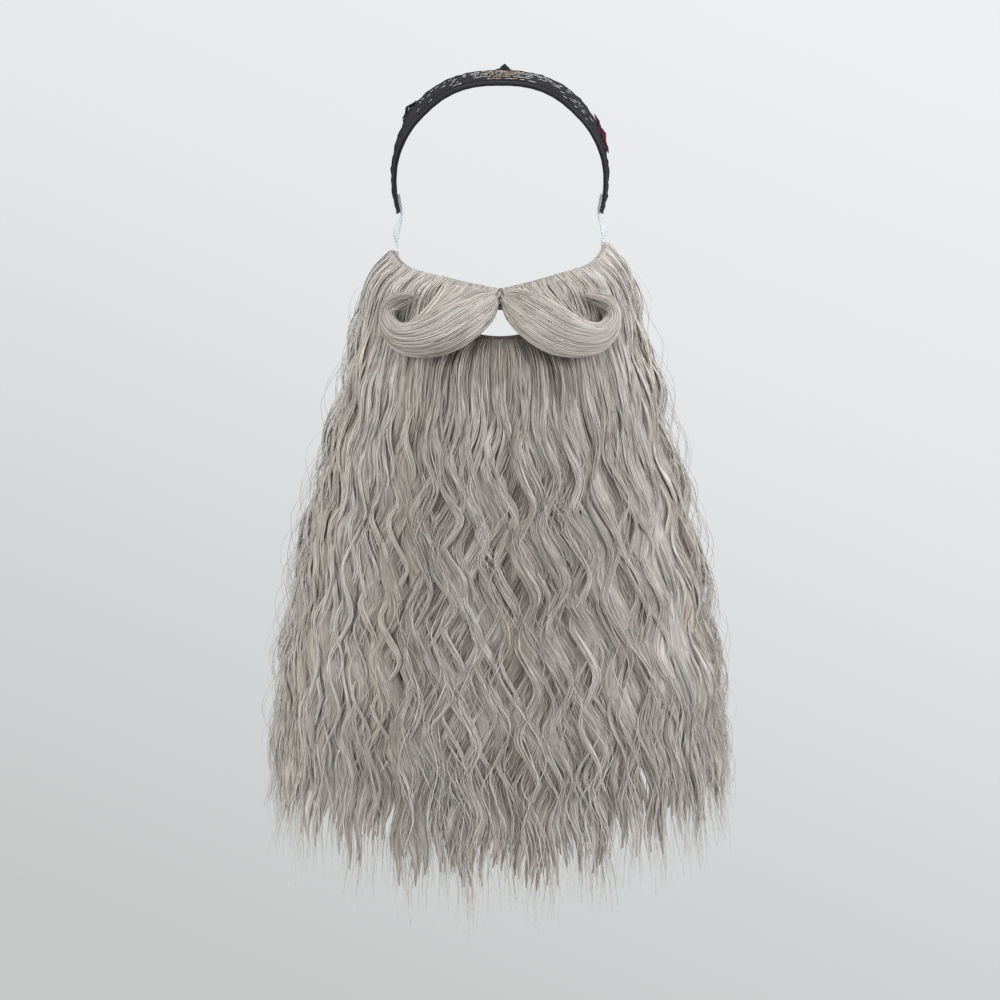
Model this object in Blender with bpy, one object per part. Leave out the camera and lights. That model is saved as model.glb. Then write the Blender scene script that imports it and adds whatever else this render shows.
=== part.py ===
"""A long grey fake beard with a handlebar moustache, worn on a head band: the construction.

Metres, +Z up. The beard faces -Y and +X is the wearer's left. The origin is the inside of the
head band at the crown, where the band rests on the top of the head.
"""

import math

import bmesh
import bpy
from mathutils import Vector

MM = 0.001

# The head that wears it
HEAD_HALF_WIDTH = 78.2 * MM
HEAD_HALF_LENGTH = 97 * MM
HEAD_CENTRE_Y = 5 * MM
HEAD_DOME = 88 * MM
CROWN_SQUARENESS = 2.42
TEMPLE_TUCK = 3.6 * MM
TUCK_FROM_DEGREES = 75
TUCK_OVER_DEGREES = 25
BROW_SQUARENESS = 2.3
HEAD_LEAN = 0.5

# The backing, a stretch fabric cup round the lower face
BACKING_WALL = 2 * MM
BACKING_SIDE_Y = -15 * MM
BACKING_COLUMNS = 30
BACKING_ROWS = 7
CHEEK_TOP_AT_NOSE = -163 * MM
RIGHT_EAR_RISE = 33 * MM
LEFT_EAR_RISE = 39 * MM
JAW_BOTTOM_AT_CHIN = -238 * MM
JAW_BOTTOM_RISE = 58 * MM
MOUTH_CENTRE_Z = -187 * MM
MOUTH_HALF_WIDTH = 25 * MM
MOUTH_HALF_HEIGHT = 9 * MM
MOUTH_CUT_Y = -95 * MM
MOUTH_CUT_LENGTH = 60 * MM
MOUTH_SIDES = 20

# How the backing's edges climb from the nose and chin to the ears
CHEEK_SLOPE_SHARE = 0.6
CHEEK_SLOPE_POWER = 1.2
EAR_CORNER_POWER = 12
JAW_POWER = 2.4

# The hair: what share of a quarter turn the chin hair takes, and how its locks lie
CHIN_SHARE = 0.30
SEAM_GAP = 0.0065
LOCKS_IN_CHEEK = 8
LOCKS_IN_CHIN = 7
UPPER_ROWS = 7
UPPER_CROWDING = 1.3
LOWER_ROWS = 29
SHARED_LEVEL = -207 * MM
HAIR_CLEARANCE = 0.8 * MM
ROLL_OVER = 6.5 * MM
EDGE_SHARE = 0.15
LIP_HAIR_TOP = -199 * MM
EDGE_DROP = 1 * MM
TIP_LENGTH = 42 * MM
TIP_UNEVEN = 9 * MM
TAPER_LENGTH = 110 * MM
TIP_THICKNESS = 3 * MM
GROOVE_DEPTH = 5.5 * MM
GROOVE_MOST = 0.45
WAVE_LENGTH = 68 * MM
WAVE_SWAY = 7.5 * MM
WAVE_STARTS_Z = -225 * MM
WAVE_GROWS_OVER = 90 * MM
SLOW_DRIFT = 2.4
FAST_DRIFT = 1.3

# The head band of stretch net, its rolled front edge and the clear straps
NET_WALL = 1.2 * MM
BAND_SECTIONS = 26
BAND_STRIPS = 5
BINDING_HALF_WIDTH = 2.6 * MM
BINDING_HALF_THICKNESS = 1.5 * MM
BINDING_SIDES = 8
STRAP_WIDTH = 8 * MM
STRAP_THICKNESS = 1 * MM
TOUCH_GAP = 0.35 * MM

# The gathered bunches: how far the lobes swell and rise, and how flat the foot is
LOBE_SWELL = 0.22
LOBE_RISE = 0.30
TUFT_FOOT = 0.15

# Level of each section down the face, and the backing's half width and depth there
BACKING_SECTIONS = (
    # z, half_width, depth
    (-125 * MM, 75.0 * MM, 85.0 * MM),
    (-165 * MM, 75.0 * MM, 85.0 * MM),
    (-200 * MM, 71.0 * MM, 83.0 * MM),
    (-222 * MM, 66.0 * MM, 78.0 * MM),
    (-240 * MM, 60.0 * MM, 66.0 * MM),
)

# Level of each section down the hair: outer half width and depth, inner half width and depth
HAIR_SECTIONS = (
    # z, outer_width, outer_depth, inner_width, inner_depth
    (-125 * MM, 86.0 * MM, 93.0 * MM, 77.8 * MM, 87.8 * MM),
    (-142 * MM, 94.0 * MM, 96.0 * MM, 77.8 * MM, 87.8 * MM),
    (-165 * MM, 101.0 * MM, 99.0 * MM, 77.8 * MM, 87.8 * MM),
    (-200 * MM, 107.0 * MM, 104.0 * MM, 74.3 * MM, 86.3 * MM),
    (-222 * MM, 113.0 * MM, 109.0 * MM, 69.8 * MM, 81.8 * MM),
    (-240 * MM, 117.5 * MM, 112.0 * MM, 65.0 * MM, 72.0 * MM),
    (-262 * MM, 123.0 * MM, 113.5 * MM, 76.0 * MM, 75.0 * MM),
    (-289 * MM, 130.0 * MM, 114.0 * MM, 91.0 * MM, 80.0 * MM),
    (-339 * MM, 142.0 * MM, 112.0 * MM, 109.0 * MM, 81.0 * MM),
    (-382 * MM, 151.0 * MM, 108.0 * MM, 122.0 * MM, 80.0 * MM),
    (-453 * MM, 166.0 * MM, 102.0 * MM, 142.0 * MM, 78.0 * MM),
    (-510 * MM, 175.0 * MM, 97.0 * MM, 155.0 * MM, 77.0 * MM),
    (-600 * MM, 181.0 * MM, 92.0 * MM, 170.0 * MM, 76.0 * MM),
)

# Lowest level that the lock tips reach, from the middle of the chin (0) to the ear (1)
TIP_LEVELS = (
    # share, z
    (0.00, -592 * MM),
    (0.30, -580 * MM),
    (0.60, -556 * MM),
    (0.80, -535 * MM),
    (1.00, -500 * MM),
)

# The head band: angle down from the crown, and where its front and rear edges lie
BAND_EDGES = (
    # degrees, front_y, rear_y
    (0, -61 * MM, 8 * MM),
    (42, -59 * MM, 5 * MM),
    (60, -50 * MM, 0 * MM),
    (76, -37 * MM, -8 * MM),
    (90, -31 * MM, -15 * MM),
    (100, -30 * MM, -20 * MM),
)

# The clear strap, from inside the head band's end to inside the backing's corner
STRAP_STATIONS = (
    # z, across, y, turn_degrees
    (-90 * MM, 73.0 * MM, -23.5 * MM, 10),
    (-97 * MM, 71.7 * MM, -24.0 * MM, 10),
    (-105 * MM, 70.9 * MM, -24.0 * MM, 12),
    (-110 * MM, 72.6 * MM, -23.0 * MM, 24),
    (-117 * MM, 75.0 * MM, -21.8 * MM, 42),
    (-123 * MM, 74.4 * MM, -21.2 * MM, 18),
    (-129 * MM, 73.5 * MM, -21.0 * MM, 4),
    (-143 * MM, 73.6 * MM, -21.0 * MM, 4),
)

# One half of the moustache, from the lip to the tip of its curl
MOUSTACHE_STATIONS = (
    # across, z, half_width, half_thickness, over_hair
    (3.8 * MM, -169 * MM, 5.2 * MM, 3.5 * MM, 0.0),
    (11.0 * MM, -174 * MM, 11.5 * MM, 5.0 * MM, 0.1),
    (23.0 * MM, -183 * MM, 15.0 * MM, 6.5 * MM, 0.6),
    (39.0 * MM, -193.5 * MM, 15.5 * MM, 8.0 * MM, 1.0),
    (55.0 * MM, -198.5 * MM, 12.5 * MM, 8.0 * MM, 1.0),
    (69.0 * MM, -197 * MM, 9.5 * MM, 7.0 * MM, 1.0),
    (77.5 * MM, -188 * MM, 7.0 * MM, 5.5 * MM, 1.0),
    (78.5 * MM, -177 * MM, 5.5 * MM, 4.5 * MM, 1.0),
    (72.0 * MM, -169.5 * MM, 4.0 * MM, 3.5 * MM, 1.0),
    (60.0 * MM, -167 * MM, 1.5 * MM, 1.5 * MM, 1.0),
)
MOUSTACHE_STEPS = 3
MOUSTACHE_SIDES = 12
MOUSTACHE_RIDGE = 0.09

SIDES = (("right", -1), ("left", 1))


def clear_scene():
    """Remove whatever the scene holds."""
    for thing in list(bpy.data.objects):
        bpy.data.objects.remove(thing)


def look(name, colour, roughness, alpha=1.0):
    """A plain material with one colour and one roughness."""
    material = bpy.data.materials.new(name)
    material.use_nodes = True
    shader = material.node_tree.nodes["Principled BSDF"]
    shader.inputs["Base Color"].default_value = (*colour, 1.0)
    shader.inputs["Roughness"].default_value = roughness
    shader.inputs["Alpha"].default_value = alpha
    return material


def read_table(table, at):
    """The columns after the first, read smoothly at a value of the first column."""
    keys = [row[0] for row in table]
    rising = keys[-1] > keys[0]
    if (at <= keys[0]) if rising else (at >= keys[0]):
        return table[0][1:]
    for low, high in zip(table, table[1:]):
        inside = at <= high[0] if rising else at >= high[0]
        if inside:
            share = (at - low[0]) / (high[0] - low[0])
            return tuple(a + (b - a) * share for a, b in zip(low[1:], high[1:]))
    return table[-1][1:]


def smooth(table, steps=4):
    """The same table with rows added on a smooth curve through its rows."""
    rows = []
    for i in range(len(table) - 1):
        before = table[max(i - 1, 0)]
        after = table[min(i + 2, len(table) - 1)]
        for k in range(steps):
            t = k / steps
            rows.append(
                tuple(
                    0.5
                    * (
                        2 * q
                        + (r - p) * t
                        + (2 * p - 5 * q + 4 * r - s) * t * t
                        + (3 * q - p - 3 * r + s) * t * t * t
                    )
                    for p, q, r, s in zip(before, table[i], table[i + 1], after)
                )
            )
    rows.append(table[-1])
    return tuple(rows)


BACKING_CURVE = smooth(BACKING_SECTIONS)
HAIR_CURVE = smooth(HAIR_SECTIONS)
TIP_CURVE = smooth(TIP_LEVELS)
BAND_CURVE = smooth(BAND_EDGES)
STRAP_CURVE = smooth(STRAP_STATIONS, 2)
MOUSTACHE_CURVE = smooth(MOUSTACHE_STATIONS, MOUSTACHE_STEPS)


def add_object(name, bm, material):
    """Turn a bmesh into a named object with faces pointing out."""
    bm.normal_update()
    bmesh.ops.recalc_face_normals(bm, faces=bm.faces)
    mesh = bpy.data.meshes.new(name)
    bm.to_mesh(mesh)
    bm.free()
    mesh.materials.append(material)
    mesh.shade_smooth()
    mesh.set_sharp_from_angle(angle=math.radians(50))
    thing = bpy.data.objects.new(name, mesh)
    bpy.context.scene.collection.objects.link(thing)
    return thing


def join_rows(bm, rows, ring):
    """Quads between rows of vertices that have the same count; a ring closes round."""
    for upper, lower in zip(rows, rows[1:]):
        count = len(upper)
        for i in range(count if ring else count - 1):
            j = (i + 1) % count
            bm.faces.new((upper[i], upper[j], lower[j], lower[i]))


def loft(bm, sections):
    """A closed solid through closed sections, with flat fans over its two ends."""
    rows = [[bm.verts.new(point) for point in section] for section in sections]
    join_rows(bm, rows, ring=True)
    for row in (rows[0], rows[-1]):
        centre = bm.verts.new(sum((v.co for v in row), Vector()) / len(row))
        for i, vertex in enumerate(row):
            bm.faces.new((vertex, row[(i + 1) % len(row)], centre))


def thicken(thing, thickness, offset):
    """Give a sheet its thickness with a Solidify modifier; offset 1 grows it outwards."""
    wall = thing.modifiers.new("wall", "SOLIDIFY")
    wall.thickness = thickness
    wall.offset = offset
    wall.use_even_offset = True


def cheek_top(sine):
    """Level of the backing's top edge, by the sine of the angle from the nose."""
    slope = CHEEK_SLOPE_SHARE * abs(sine) ** CHEEK_SLOPE_POWER
    corner = (1 - CHEEK_SLOPE_SHARE) * abs(sine) ** EAR_CORNER_POWER
    rise = LEFT_EAR_RISE if sine > 0 else RIGHT_EAR_RISE
    return CHEEK_TOP_AT_NOSE + rise * (slope + corner)


def jaw_bottom(sine):
    """Level of the backing's bottom edge, by the sine of the angle from the nose."""
    return JAW_BOTTOM_AT_CHIN + JAW_BOTTOM_RISE * abs(sine) ** JAW_POWER


def on_plan(angle, half_width, depth, z):
    """The point of a half-oval plan section at an angle from straight ahead."""
    return Vector((half_width * math.sin(angle), BACKING_SIDE_Y - depth * math.cos(angle), z))


def backing_point(share, z):
    """A point of the backing's inner face; share runs from -1, right ear, to 1, left ear."""
    half_width, depth = read_table(BACKING_CURVE, z)
    return on_plan(share * math.pi / 2, half_width, depth, z)


def build_backing(material):
    """The fabric cup: a sheet round the lower face, thickened, with the mouth cut out."""
    bm = bmesh.new()
    rows = []
    for row in range(BACKING_ROWS + 1):
        down = row / BACKING_ROWS
        points = []
        for column in range(BACKING_COLUMNS + 1):
            share = 2 * column / BACKING_COLUMNS - 1
            sine = math.sin(share * math.pi / 2)
            z = cheek_top(sine) + (jaw_bottom(sine) - cheek_top(sine)) * down
            points.append(bm.verts.new(backing_point(share, z)))
        rows.append(points)
    join_rows(bm, rows, ring=False)
    backing = add_object("beard_backing", bm, material)
    outwards = backing.data.polygons[BACKING_COLUMNS // 2].normal.y < 0
    thicken(backing, BACKING_WALL, 1 if outwards else -1)
    cutter = build_mouth_cutter()
    cut = backing.modifiers.new("mouth", "BOOLEAN")
    cut.object = cutter
    cut.operation = "DIFFERENCE"
    cut.solver = "EXACT"


def build_mouth_cutter():
    """An oval bar that runs through the front of the backing, hidden from renders."""
    bm = bmesh.new()
    bmesh.ops.create_cone(
        bm, cap_ends=True, segments=MOUTH_SIDES, radius1=1.0, radius2=1.0, depth=1.0
    )
    for vertex in bm.verts:
        x, y, z = vertex.co
        vertex.co = (
            x * MOUTH_HALF_WIDTH,
            MOUTH_CUT_Y + z * MOUTH_CUT_LENGTH,
            MOUTH_CENTRE_Z + y * MOUTH_HALF_HEIGHT,
        )
    bm.normal_update()
    bmesh.ops.recalc_face_normals(bm, faces=bm.faces)
    mesh = bpy.data.meshes.new("mouth_cutter")
    bm.to_mesh(mesh)
    bm.free()
    cutter = bpy.data.objects.new("mouth_cutter", mesh)
    bpy.context.scene.collection.objects.link(cutter)
    cutter.hide_render = True
    cutter.display_type = "WIRE"
    return cutter


def sway(share, z):
    """How far the hair at this place is swung sideways by its waves, in metres."""
    grown = min(max((WAVE_STARTS_Z - z) / WAVE_GROWS_OVER, 0.0), 1.0)
    phase = SLOW_DRIFT * math.sin(5.1 * share + 0.7) + FAST_DRIFT * math.sin(11.0 * share)
    return WAVE_SWAY * grown * math.sin(2 * math.pi * z / WAVE_LENGTH + phase)


def roll_over(z, top):
    """How far the hair has swelled out below its top edge, from a thin edge to 1."""
    return 1 - (1 - EDGE_SHARE) * math.exp(-max(top - z, 0.0) / ROLL_OVER)


def hair_point(share, z, top, depth_in):
    """A point in the hair; depth_in is 0 on its outer face and 1 on its inner face."""
    outer_width, outer_depth, inner_width, inner_depth = read_table(HAIR_CURVE, z)
    inwards = 1 - roll_over(z, top) * (1 - depth_in)
    half_width = outer_width + (inner_width - outer_width) * inwards
    depth = outer_depth + (inner_depth - outer_depth) * inwards
    angle = share * math.pi / 2 + sway(share, z) / half_width
    return on_plan(angle, half_width, depth, z)


def hair_levels(top, tip):
    """Levels of a column of hair: close together at the top edge, then even down to its tip."""
    upper = [
        top + (SHARED_LEVEL - top) * (row / UPPER_ROWS) ** UPPER_CROWDING
        for row in range(UPPER_ROWS)
    ]
    lower = [
        SHARED_LEVEL + (tip - SHARED_LEVEL) * row / LOWER_ROWS
        for row in range(LOWER_ROWS + 1)
    ]
    return upper + lower


def hair_column(share, ridge, top):
    """Outer and inner points of one column of hair, which lies on a ridge or in a groove."""
    tip = read_table(TIP_CURVE, abs(share))[0] + TIP_UNEVEN * math.sin(37 * share + 1)
    if not ridge:
        tip += TIP_LENGTH
    outer_points = []
    inner_points = []
    for z in hair_levels(top, tip):
        closing = max(1 - (z - tip) / TAPER_LENGTH, 0.0)
        outer = hair_point(share, z, top, 0.0)
        inner = hair_point(share, z, top, 1.0)
        across = inner - outer
        thickness = across.length
        groove = 0.0 if ridge else min(GROOVE_DEPTH * roll_over(z, top), GROOVE_MOST * thickness)
        whole = thickness - groove
        kept = whole + (min(TIP_THICKNESS, whole) - whole) * closing
        begins = groove + (whole - kept) * 0.5
        outer_points.append(outer + across * (begins / thickness))
        inner_points.append(outer + across * ((begins + kept) / thickness))
    return outer_points, inner_points


def hair_mass(name, material, start, end, locks, top_level):
    """A mass of wavy locks fused side by side, each with a ridge and a free pointed tip."""
    columns = []
    for k in range(2 * locks + 1):
        share = start + (end - start) * k / (2 * locks)
        columns.append(hair_column(share, k % 2 == 1, top_level(share)))
    bm = bmesh.new()
    rows = []
    for row in range(UPPER_ROWS + LOWER_ROWS + 1):
        ring = [outer[row] for outer, inner in columns]
        ring += [inner[row] for outer, inner in reversed(columns)]
        rows.append([bm.verts.new(point) for point in ring])
    join_rows(bm, rows, ring=True)
    for row in (rows[0], rows[-1]):
        count = len(columns)
        join_rows(bm, [row[:count], row[:count - 1:-1]], ring=False)
    add_object(name, bm, material)


def build_hair(material):
    """Hair on each cheek, and the hair that hangs from under the lip and chin."""
    for side, sign in SIDES:
        shares = sorted((sign * (CHIN_SHARE + SEAM_GAP), sign))
        hair_mass(
            f"cheek_hair_{side}",
            material,
            shares[0],
            shares[1],
            LOCKS_IN_CHEEK,
            lambda share: cheek_top(math.sin(share * math.pi / 2)) - EDGE_DROP,
        )
    hair_mass(
        "chin_hair",
        material,
        -CHIN_SHARE + SEAM_GAP,
        CHIN_SHARE - SEAM_GAP,
        LOCKS_IN_CHIN,
        lambda share: LIP_HAIR_TOP,
    )


def oval_ahead(across, half_width, depth):
    """The point of a half-oval plan straight ahead of a place, and the way it faces."""
    sine = min(across / half_width, 0.98)
    cosine = math.sqrt(1 - sine * sine)
    point = Vector((across, BACKING_SIDE_Y - depth * cosine, 0))
    return point, Vector((sine / half_width, -cosine / depth, 0)).normalized()


def above_beard(across, z, over_hair, lift):
    """A point lifted off the backing, or off the hair on it, and the way it is lifted."""
    place = across
    for _ in range(4):
        flat, flat_out = oval_ahead(place, *read_table(BACKING_CURVE, z))
        full, full_out = oval_ahead(place, *read_table(HAIR_CURVE, z)[:2])
        flat = flat + flat_out * BACKING_WALL
        out = flat_out.lerp(full_out, over_hair).normalized()
        point = flat.lerp(full, over_hair) + out * lift
        place += across - point.x
    return Vector((point.x, point.y, z)), out


def build_moustache(side, sign, material):
    """One half of the moustache: a ridged bundle that sweeps out and curls up at its tip."""
    path = []
    outs = []
    for across, z, half_width, half_thickness, over_hair in MOUSTACHE_CURVE:
        lift = half_thickness * (1 + MOUSTACHE_RIDGE) + HAIR_CLEARANCE
        point, out = above_beard(across, z, over_hair, lift)
        path.append(point)
        outs.append(out)
    sections = []
    for i, row in enumerate(MOUSTACHE_CURVE):
        half_width, half_thickness = row[2:4]
        ahead = path[min(i + 1, len(path) - 1)] - path[max(i - 1, 0)]
        broad = ahead.cross(outs[i]).normalized()
        out = broad.cross(ahead).normalized()
        ring = []
        for k in range(MOUSTACHE_SIDES):
            turn = 2 * math.pi * k / MOUSTACHE_SIDES
            ridge = 1 + MOUSTACHE_RIDGE * (1 if k % 2 else -1)
            point = path[i] + broad * (half_width * ridge * math.cos(turn))
            point = point + out * (half_thickness * ridge * math.sin(turn))
            ring.append(Vector((sign * point.x, point.y, point.z)))
        sections.append(ring)
    bm = bmesh.new()
    loft(bm, sections)
    add_object(f"moustache_{side}", bm, material)


def head_point(degrees, y, off=0.0):
    """A point on the head's dome at an angle from the crown, lifted off it by some distance."""
    along = abs((y - HEAD_CENTRE_Y) / HEAD_HALF_LENGTH)
    girth = (1 - min(along, 0.99) ** BROW_SQUARENESS) ** (1 / BROW_SQUARENESS)
    sine = math.sin(math.radians(degrees))
    cosine = math.cos(math.radians(degrees))
    reach = (abs(sine) ** CROWN_SQUARENESS + abs(cosine) ** CROWN_SQUARENESS) ** (
        -1 / CROWN_SQUARENESS
    )
    lean = HEAD_LEAN * (y - HEAD_CENTRE_Y) / HEAD_HALF_LENGTH
    outward = Vector((sine, lean, cosine)).normalized()
    centre = Vector((0, y, -HEAD_DOME))
    tucked = max(abs(degrees) - TUCK_FROM_DEGREES, 0) / TUCK_OVER_DEGREES
    x = HEAD_HALF_WIDTH * reach * sine * girth - math.copysign(TEMPLE_TUCK * tucked**2, sine)
    z = HEAD_DOME * reach * cosine * girth
    return centre + Vector((x, 0, z)) + outward * off


def band_angles():
    """Angles of the band's sections, from the right ear over the crown to the left ear."""
    widest = BAND_EDGES[-1][0]
    return [
        widest * (2 * i / BAND_SECTIONS - 1)
        for i in range(BAND_SECTIONS + 1)
    ]


def build_head_band(material):
    """The stretch net over the top of the head, from ear to ear behind its binding."""
    bm = bmesh.new()
    rows = []
    for degrees in band_angles():
        front_y, rear_y = read_table(BAND_CURVE, abs(degrees))
        front_y = front_y + 2 * BINDING_HALF_WIDTH + TOUCH_GAP
        rows.append(
            [
                bm.verts.new(head_point(degrees, front_y + (rear_y - front_y) * k / BAND_STRIPS))
                for k in range(BAND_STRIPS + 1)
            ]
        )
    join_rows(bm, rows, ring=False)
    band = add_object("head_band_net", bm, material)
    middle = band.data.polygons[len(band.data.polygons) // 2]
    thicken(band, NET_WALL, 1 if middle.normal.z > 0 else -1)


def build_binding(material):
    """The rolled elastic edge along the front of the head band."""
    sections = []
    for degrees in band_angles():
        front_y = read_table(BAND_CURVE, abs(degrees))[0]
        middle = head_point(degrees, front_y + BINDING_HALF_WIDTH, BINDING_HALF_THICKNESS)
        before = head_point(degrees, front_y, BINDING_HALF_THICKNESS)
        broad = (middle - before).normalized()
        along = head_point(degrees + 1, front_y) - head_point(degrees - 1, front_y)
        out = broad.cross(along).normalized()
        ring = []
        for k in range(BINDING_SIDES):
            turn = 2 * math.pi * (k + 0.5) / BINDING_SIDES
            ring.append(
                middle
                + broad * (BINDING_HALF_WIDTH * math.cos(turn))
                + out * (BINDING_HALF_THICKNESS * math.sin(turn))
            )
        sections.append(ring)
    bm = bmesh.new()
    loft(bm, sections)
    add_object("head_band_binding", bm, material)


def build_strap(side, sign, material):
    """A clear strap from inside the head band's end down to inside the backing's corner."""
    sections = []
    lift = cheek_top(sign) - cheek_top(-1)
    top = STRAP_STATIONS[0][0]
    bottom = STRAP_STATIONS[-1][0]
    for z, across, y, degrees in STRAP_CURVE:
        z += lift * (top - z) / (top - bottom)
        turn = math.radians(degrees)
        broad = Vector((math.sin(turn), math.cos(turn), 0))
        out = Vector((math.cos(turn), -math.sin(turn), 0))
        ring = []
        for along, through in ((-1, -1), (1, -1), (1, 1), (-1, 1)):
            point = Vector((across, y, z)) + broad * (along * STRAP_WIDTH / 2)
            point = point + out * (through * STRAP_THICKNESS / 2)
            ring.append(Vector((sign * point.x, point.y, point.z)))
        sections.append(ring)
    bm = bmesh.new()
    loft(bm, sections)
    add_object(f"ear_strap_{side}", bm, material)


def build_tuft(name, degrees, y, size, lobes, material):
    """A bunch of gathered net that stands on the band: a ball drawn out into lobes."""
    length, width, height = size
    bm = bmesh.new()
    bmesh.ops.create_icosphere(bm, subdivisions=2, radius=1.0)
    base = head_point(degrees, y, NET_WALL + TOUCH_GAP)
    along = (head_point(degrees + 1, y) - head_point(degrees - 1, y)).normalized()
    back = Vector((0, 1, 0))
    up = (along.cross(back) * -1).normalized()
    if up.dot(head_point(degrees, y, 1.0) - base) < 0:
        up = -up
    for vertex in bm.verts:
        x, w, h = vertex.co
        turn = math.atan2(w, x)
        lobe = 1 + LOBE_SWELL * math.sin(lobes * turn) * (1 - abs(h))
        rise = max(h, -TUFT_FOOT) * (1 + LOBE_RISE * math.sin(lobes * x * 2 + 1))
        vertex.co = (
            base
            + along * (x * length / 2 * lobe)
            + back * (w * width / 2 * lobe)
            + up * ((rise + TUFT_FOOT) * height)
        )
    add_object(name, bm, material)


def main():
    """Build every piece of the beard."""
    clear_scene()
    grey_hair = look("grey_fibre", (0.40, 0.36, 0.32), 0.5)
    fabric = look("grey_stretch_fabric", (0.30, 0.27, 0.24), 0.85)
    black_net = look("black_stretch_net", (0.02, 0.02, 0.025), 0.7)
    black_binding = look("black_elastic_binding", (0.025, 0.023, 0.03), 0.55)
    maroon = look("maroon_thread", (0.18, 0.02, 0.04), 0.8)
    clear = look("clear_elastic", (0.85, 0.87, 0.88), 0.2, alpha=0.4)
    build_backing(fabric)
    build_hair(grey_hair)
    for side, sign in SIDES:
        build_moustache(side, sign, grey_hair)
        build_strap(side, sign, clear)
    build_head_band(black_net)
    build_binding(black_binding)
    build_tuft("crown_tuft", 2, 2 * MM, (13 * MM, 9 * MM, 4.2 * MM), 5, black_net)
    build_tuft("net_bunch", -50, 1 * MM, (17 * MM, 8 * MM, 3.6 * MM), 7, black_net)
    build_tuft("maroon_gather", 62, -7 * MM, (26 * MM, 5 * MM, 2.8 * MM), 8, maroon)


main()
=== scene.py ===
"""A long grey fake beard with a handlebar moustache, worn on a net head band: the looks.

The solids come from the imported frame, in metres, +Z up. The beard faces -Y, and +X is the
wearer's left. Each piece here takes the place of one solid and lies on the same tables of
sections: hair as wavy locks and loose strands, net, rolled elastic, fabric and clear straps.
"""

import sys
import logging
import math
from collections.abc import Callable, Sequence
from dataclasses import dataclass, field, replace
from enum import Enum

import bmesh
import bpy
import numpy as np
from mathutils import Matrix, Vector


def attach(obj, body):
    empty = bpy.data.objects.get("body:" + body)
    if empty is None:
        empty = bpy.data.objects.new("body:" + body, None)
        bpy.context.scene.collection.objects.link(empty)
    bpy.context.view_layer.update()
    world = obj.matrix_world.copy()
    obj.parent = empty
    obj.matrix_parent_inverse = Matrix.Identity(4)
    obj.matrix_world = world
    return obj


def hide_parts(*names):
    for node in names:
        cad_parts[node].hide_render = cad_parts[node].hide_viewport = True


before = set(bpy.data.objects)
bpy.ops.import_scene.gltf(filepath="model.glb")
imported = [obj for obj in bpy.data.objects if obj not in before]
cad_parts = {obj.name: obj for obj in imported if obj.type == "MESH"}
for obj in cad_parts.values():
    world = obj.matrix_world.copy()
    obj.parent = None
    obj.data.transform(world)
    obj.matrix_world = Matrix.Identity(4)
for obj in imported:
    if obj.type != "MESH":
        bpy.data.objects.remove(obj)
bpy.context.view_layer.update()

MM = 0.001
BODY = "root"
Floats = np.ndarray
Colour = tuple[float, float, float, float]
Sockets = dict[str | int, object]
log = logging.getLogger("fake_beard")

# ---------------- the part's own tables

# Level of each section down the face, and the backing's half width and depth there
BACKING_SECTIONS = MM * np.array(
    # z, half_width, depth, in mm
    [(-125, 75, 85), (-165, 75, 85), (-200, 71, 83), (-222, 66, 78), (-240, 60, 66)]
)

# Level of each section down the hair: outer half width and depth, inner half width and depth
HAIR_SECTIONS = MM * np.array(
    # z, outer_width, outer_depth, inner_width, inner_depth, in mm
    [
        (-125, 86.0, 93.0, 77.8, 87.8),
        (-142, 94.0, 96.0, 77.8, 87.8),
        (-165, 101.0, 99.0, 77.8, 87.8),
        (-200, 107.0, 104.0, 74.3, 86.3),
        (-222, 113.0, 109.0, 69.8, 81.8),
        (-240, 117.5, 112.0, 65.0, 72.0),
        (-262, 123.0, 113.5, 76.0, 75.0),
        (-289, 130.0, 114.0, 91.0, 80.0),
        (-339, 142.0, 112.0, 109.0, 81.0),
        (-382, 151.0, 108.0, 122.0, 80.0),
        (-453, 166.0, 102.0, 142.0, 78.0),
        (-510, 175.0, 97.0, 155.0, 77.0),
        (-600, 181.0, 92.0, 170.0, 76.0),
    ]
)

# Lowest level that the lock tips reach, from the middle of the chin (0) to the ear (1)
TIP_LEVELS = (1, MM) * np.array(
    # share, z in mm
    [(0.0, -592), (0.3, -580), (0.6, -556), (0.8, -535), (1.0, -500)]
)

# The head band: angle down from the crown, and where its front and rear edges lie
BAND_EDGES = (1, MM, MM) * np.array(
    # degrees, front_y and rear_y in mm
    [(0, -61, 8), (42, -59, 5), (60, -50, 0), (76, -37, -8), (90, -31, -15), (100, -30, -20)]
)

# The clear strap, from inside the head band's end to inside the backing's corner
STRAP_STATIONS = (MM, MM, MM, 1) * np.array(
    # z, across and y in mm, turn in degrees
    [
        (-90, 73.0, -23.5, 10),
        (-97, 71.7, -24.0, 10),
        (-105, 70.9, -24.0, 12),
        (-110, 72.6, -23.0, 24),
        (-117, 75.0, -21.8, 42),
        (-123, 74.4, -21.2, 18),
        (-129, 73.5, -21.0, 4),
        (-143, 73.6, -21.0, 4),
    ]
)

# One half of the moustache, from the lip to the tip of its curl
MOUSTACHE_STATIONS = (MM, MM, MM, MM, 1) * np.array(
    # across, z, half_width and half_thickness in mm, over_hair
    [
        (3.8, -169, 5.2, 3.5, 0.0),
        (11.0, -174, 11.5, 5.0, 0.1),
        (23.0, -183, 15.0, 6.5, 0.6),
        (39.0, -193.5, 15.5, 8.0, 1.0),
        (55.0, -198.5, 12.5, 8.0, 1.0),
        (69.0, -197, 9.5, 7.0, 1.0),
        (77.5, -188, 7.0, 5.5, 1.0),
        (78.5, -177, 5.5, 4.5, 1.0),
        (72.0, -169.5, 4.0, 3.5, 1.0),
        (60.0, -167, 1.5, 1.5, 1.0),
    ]
)


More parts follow.
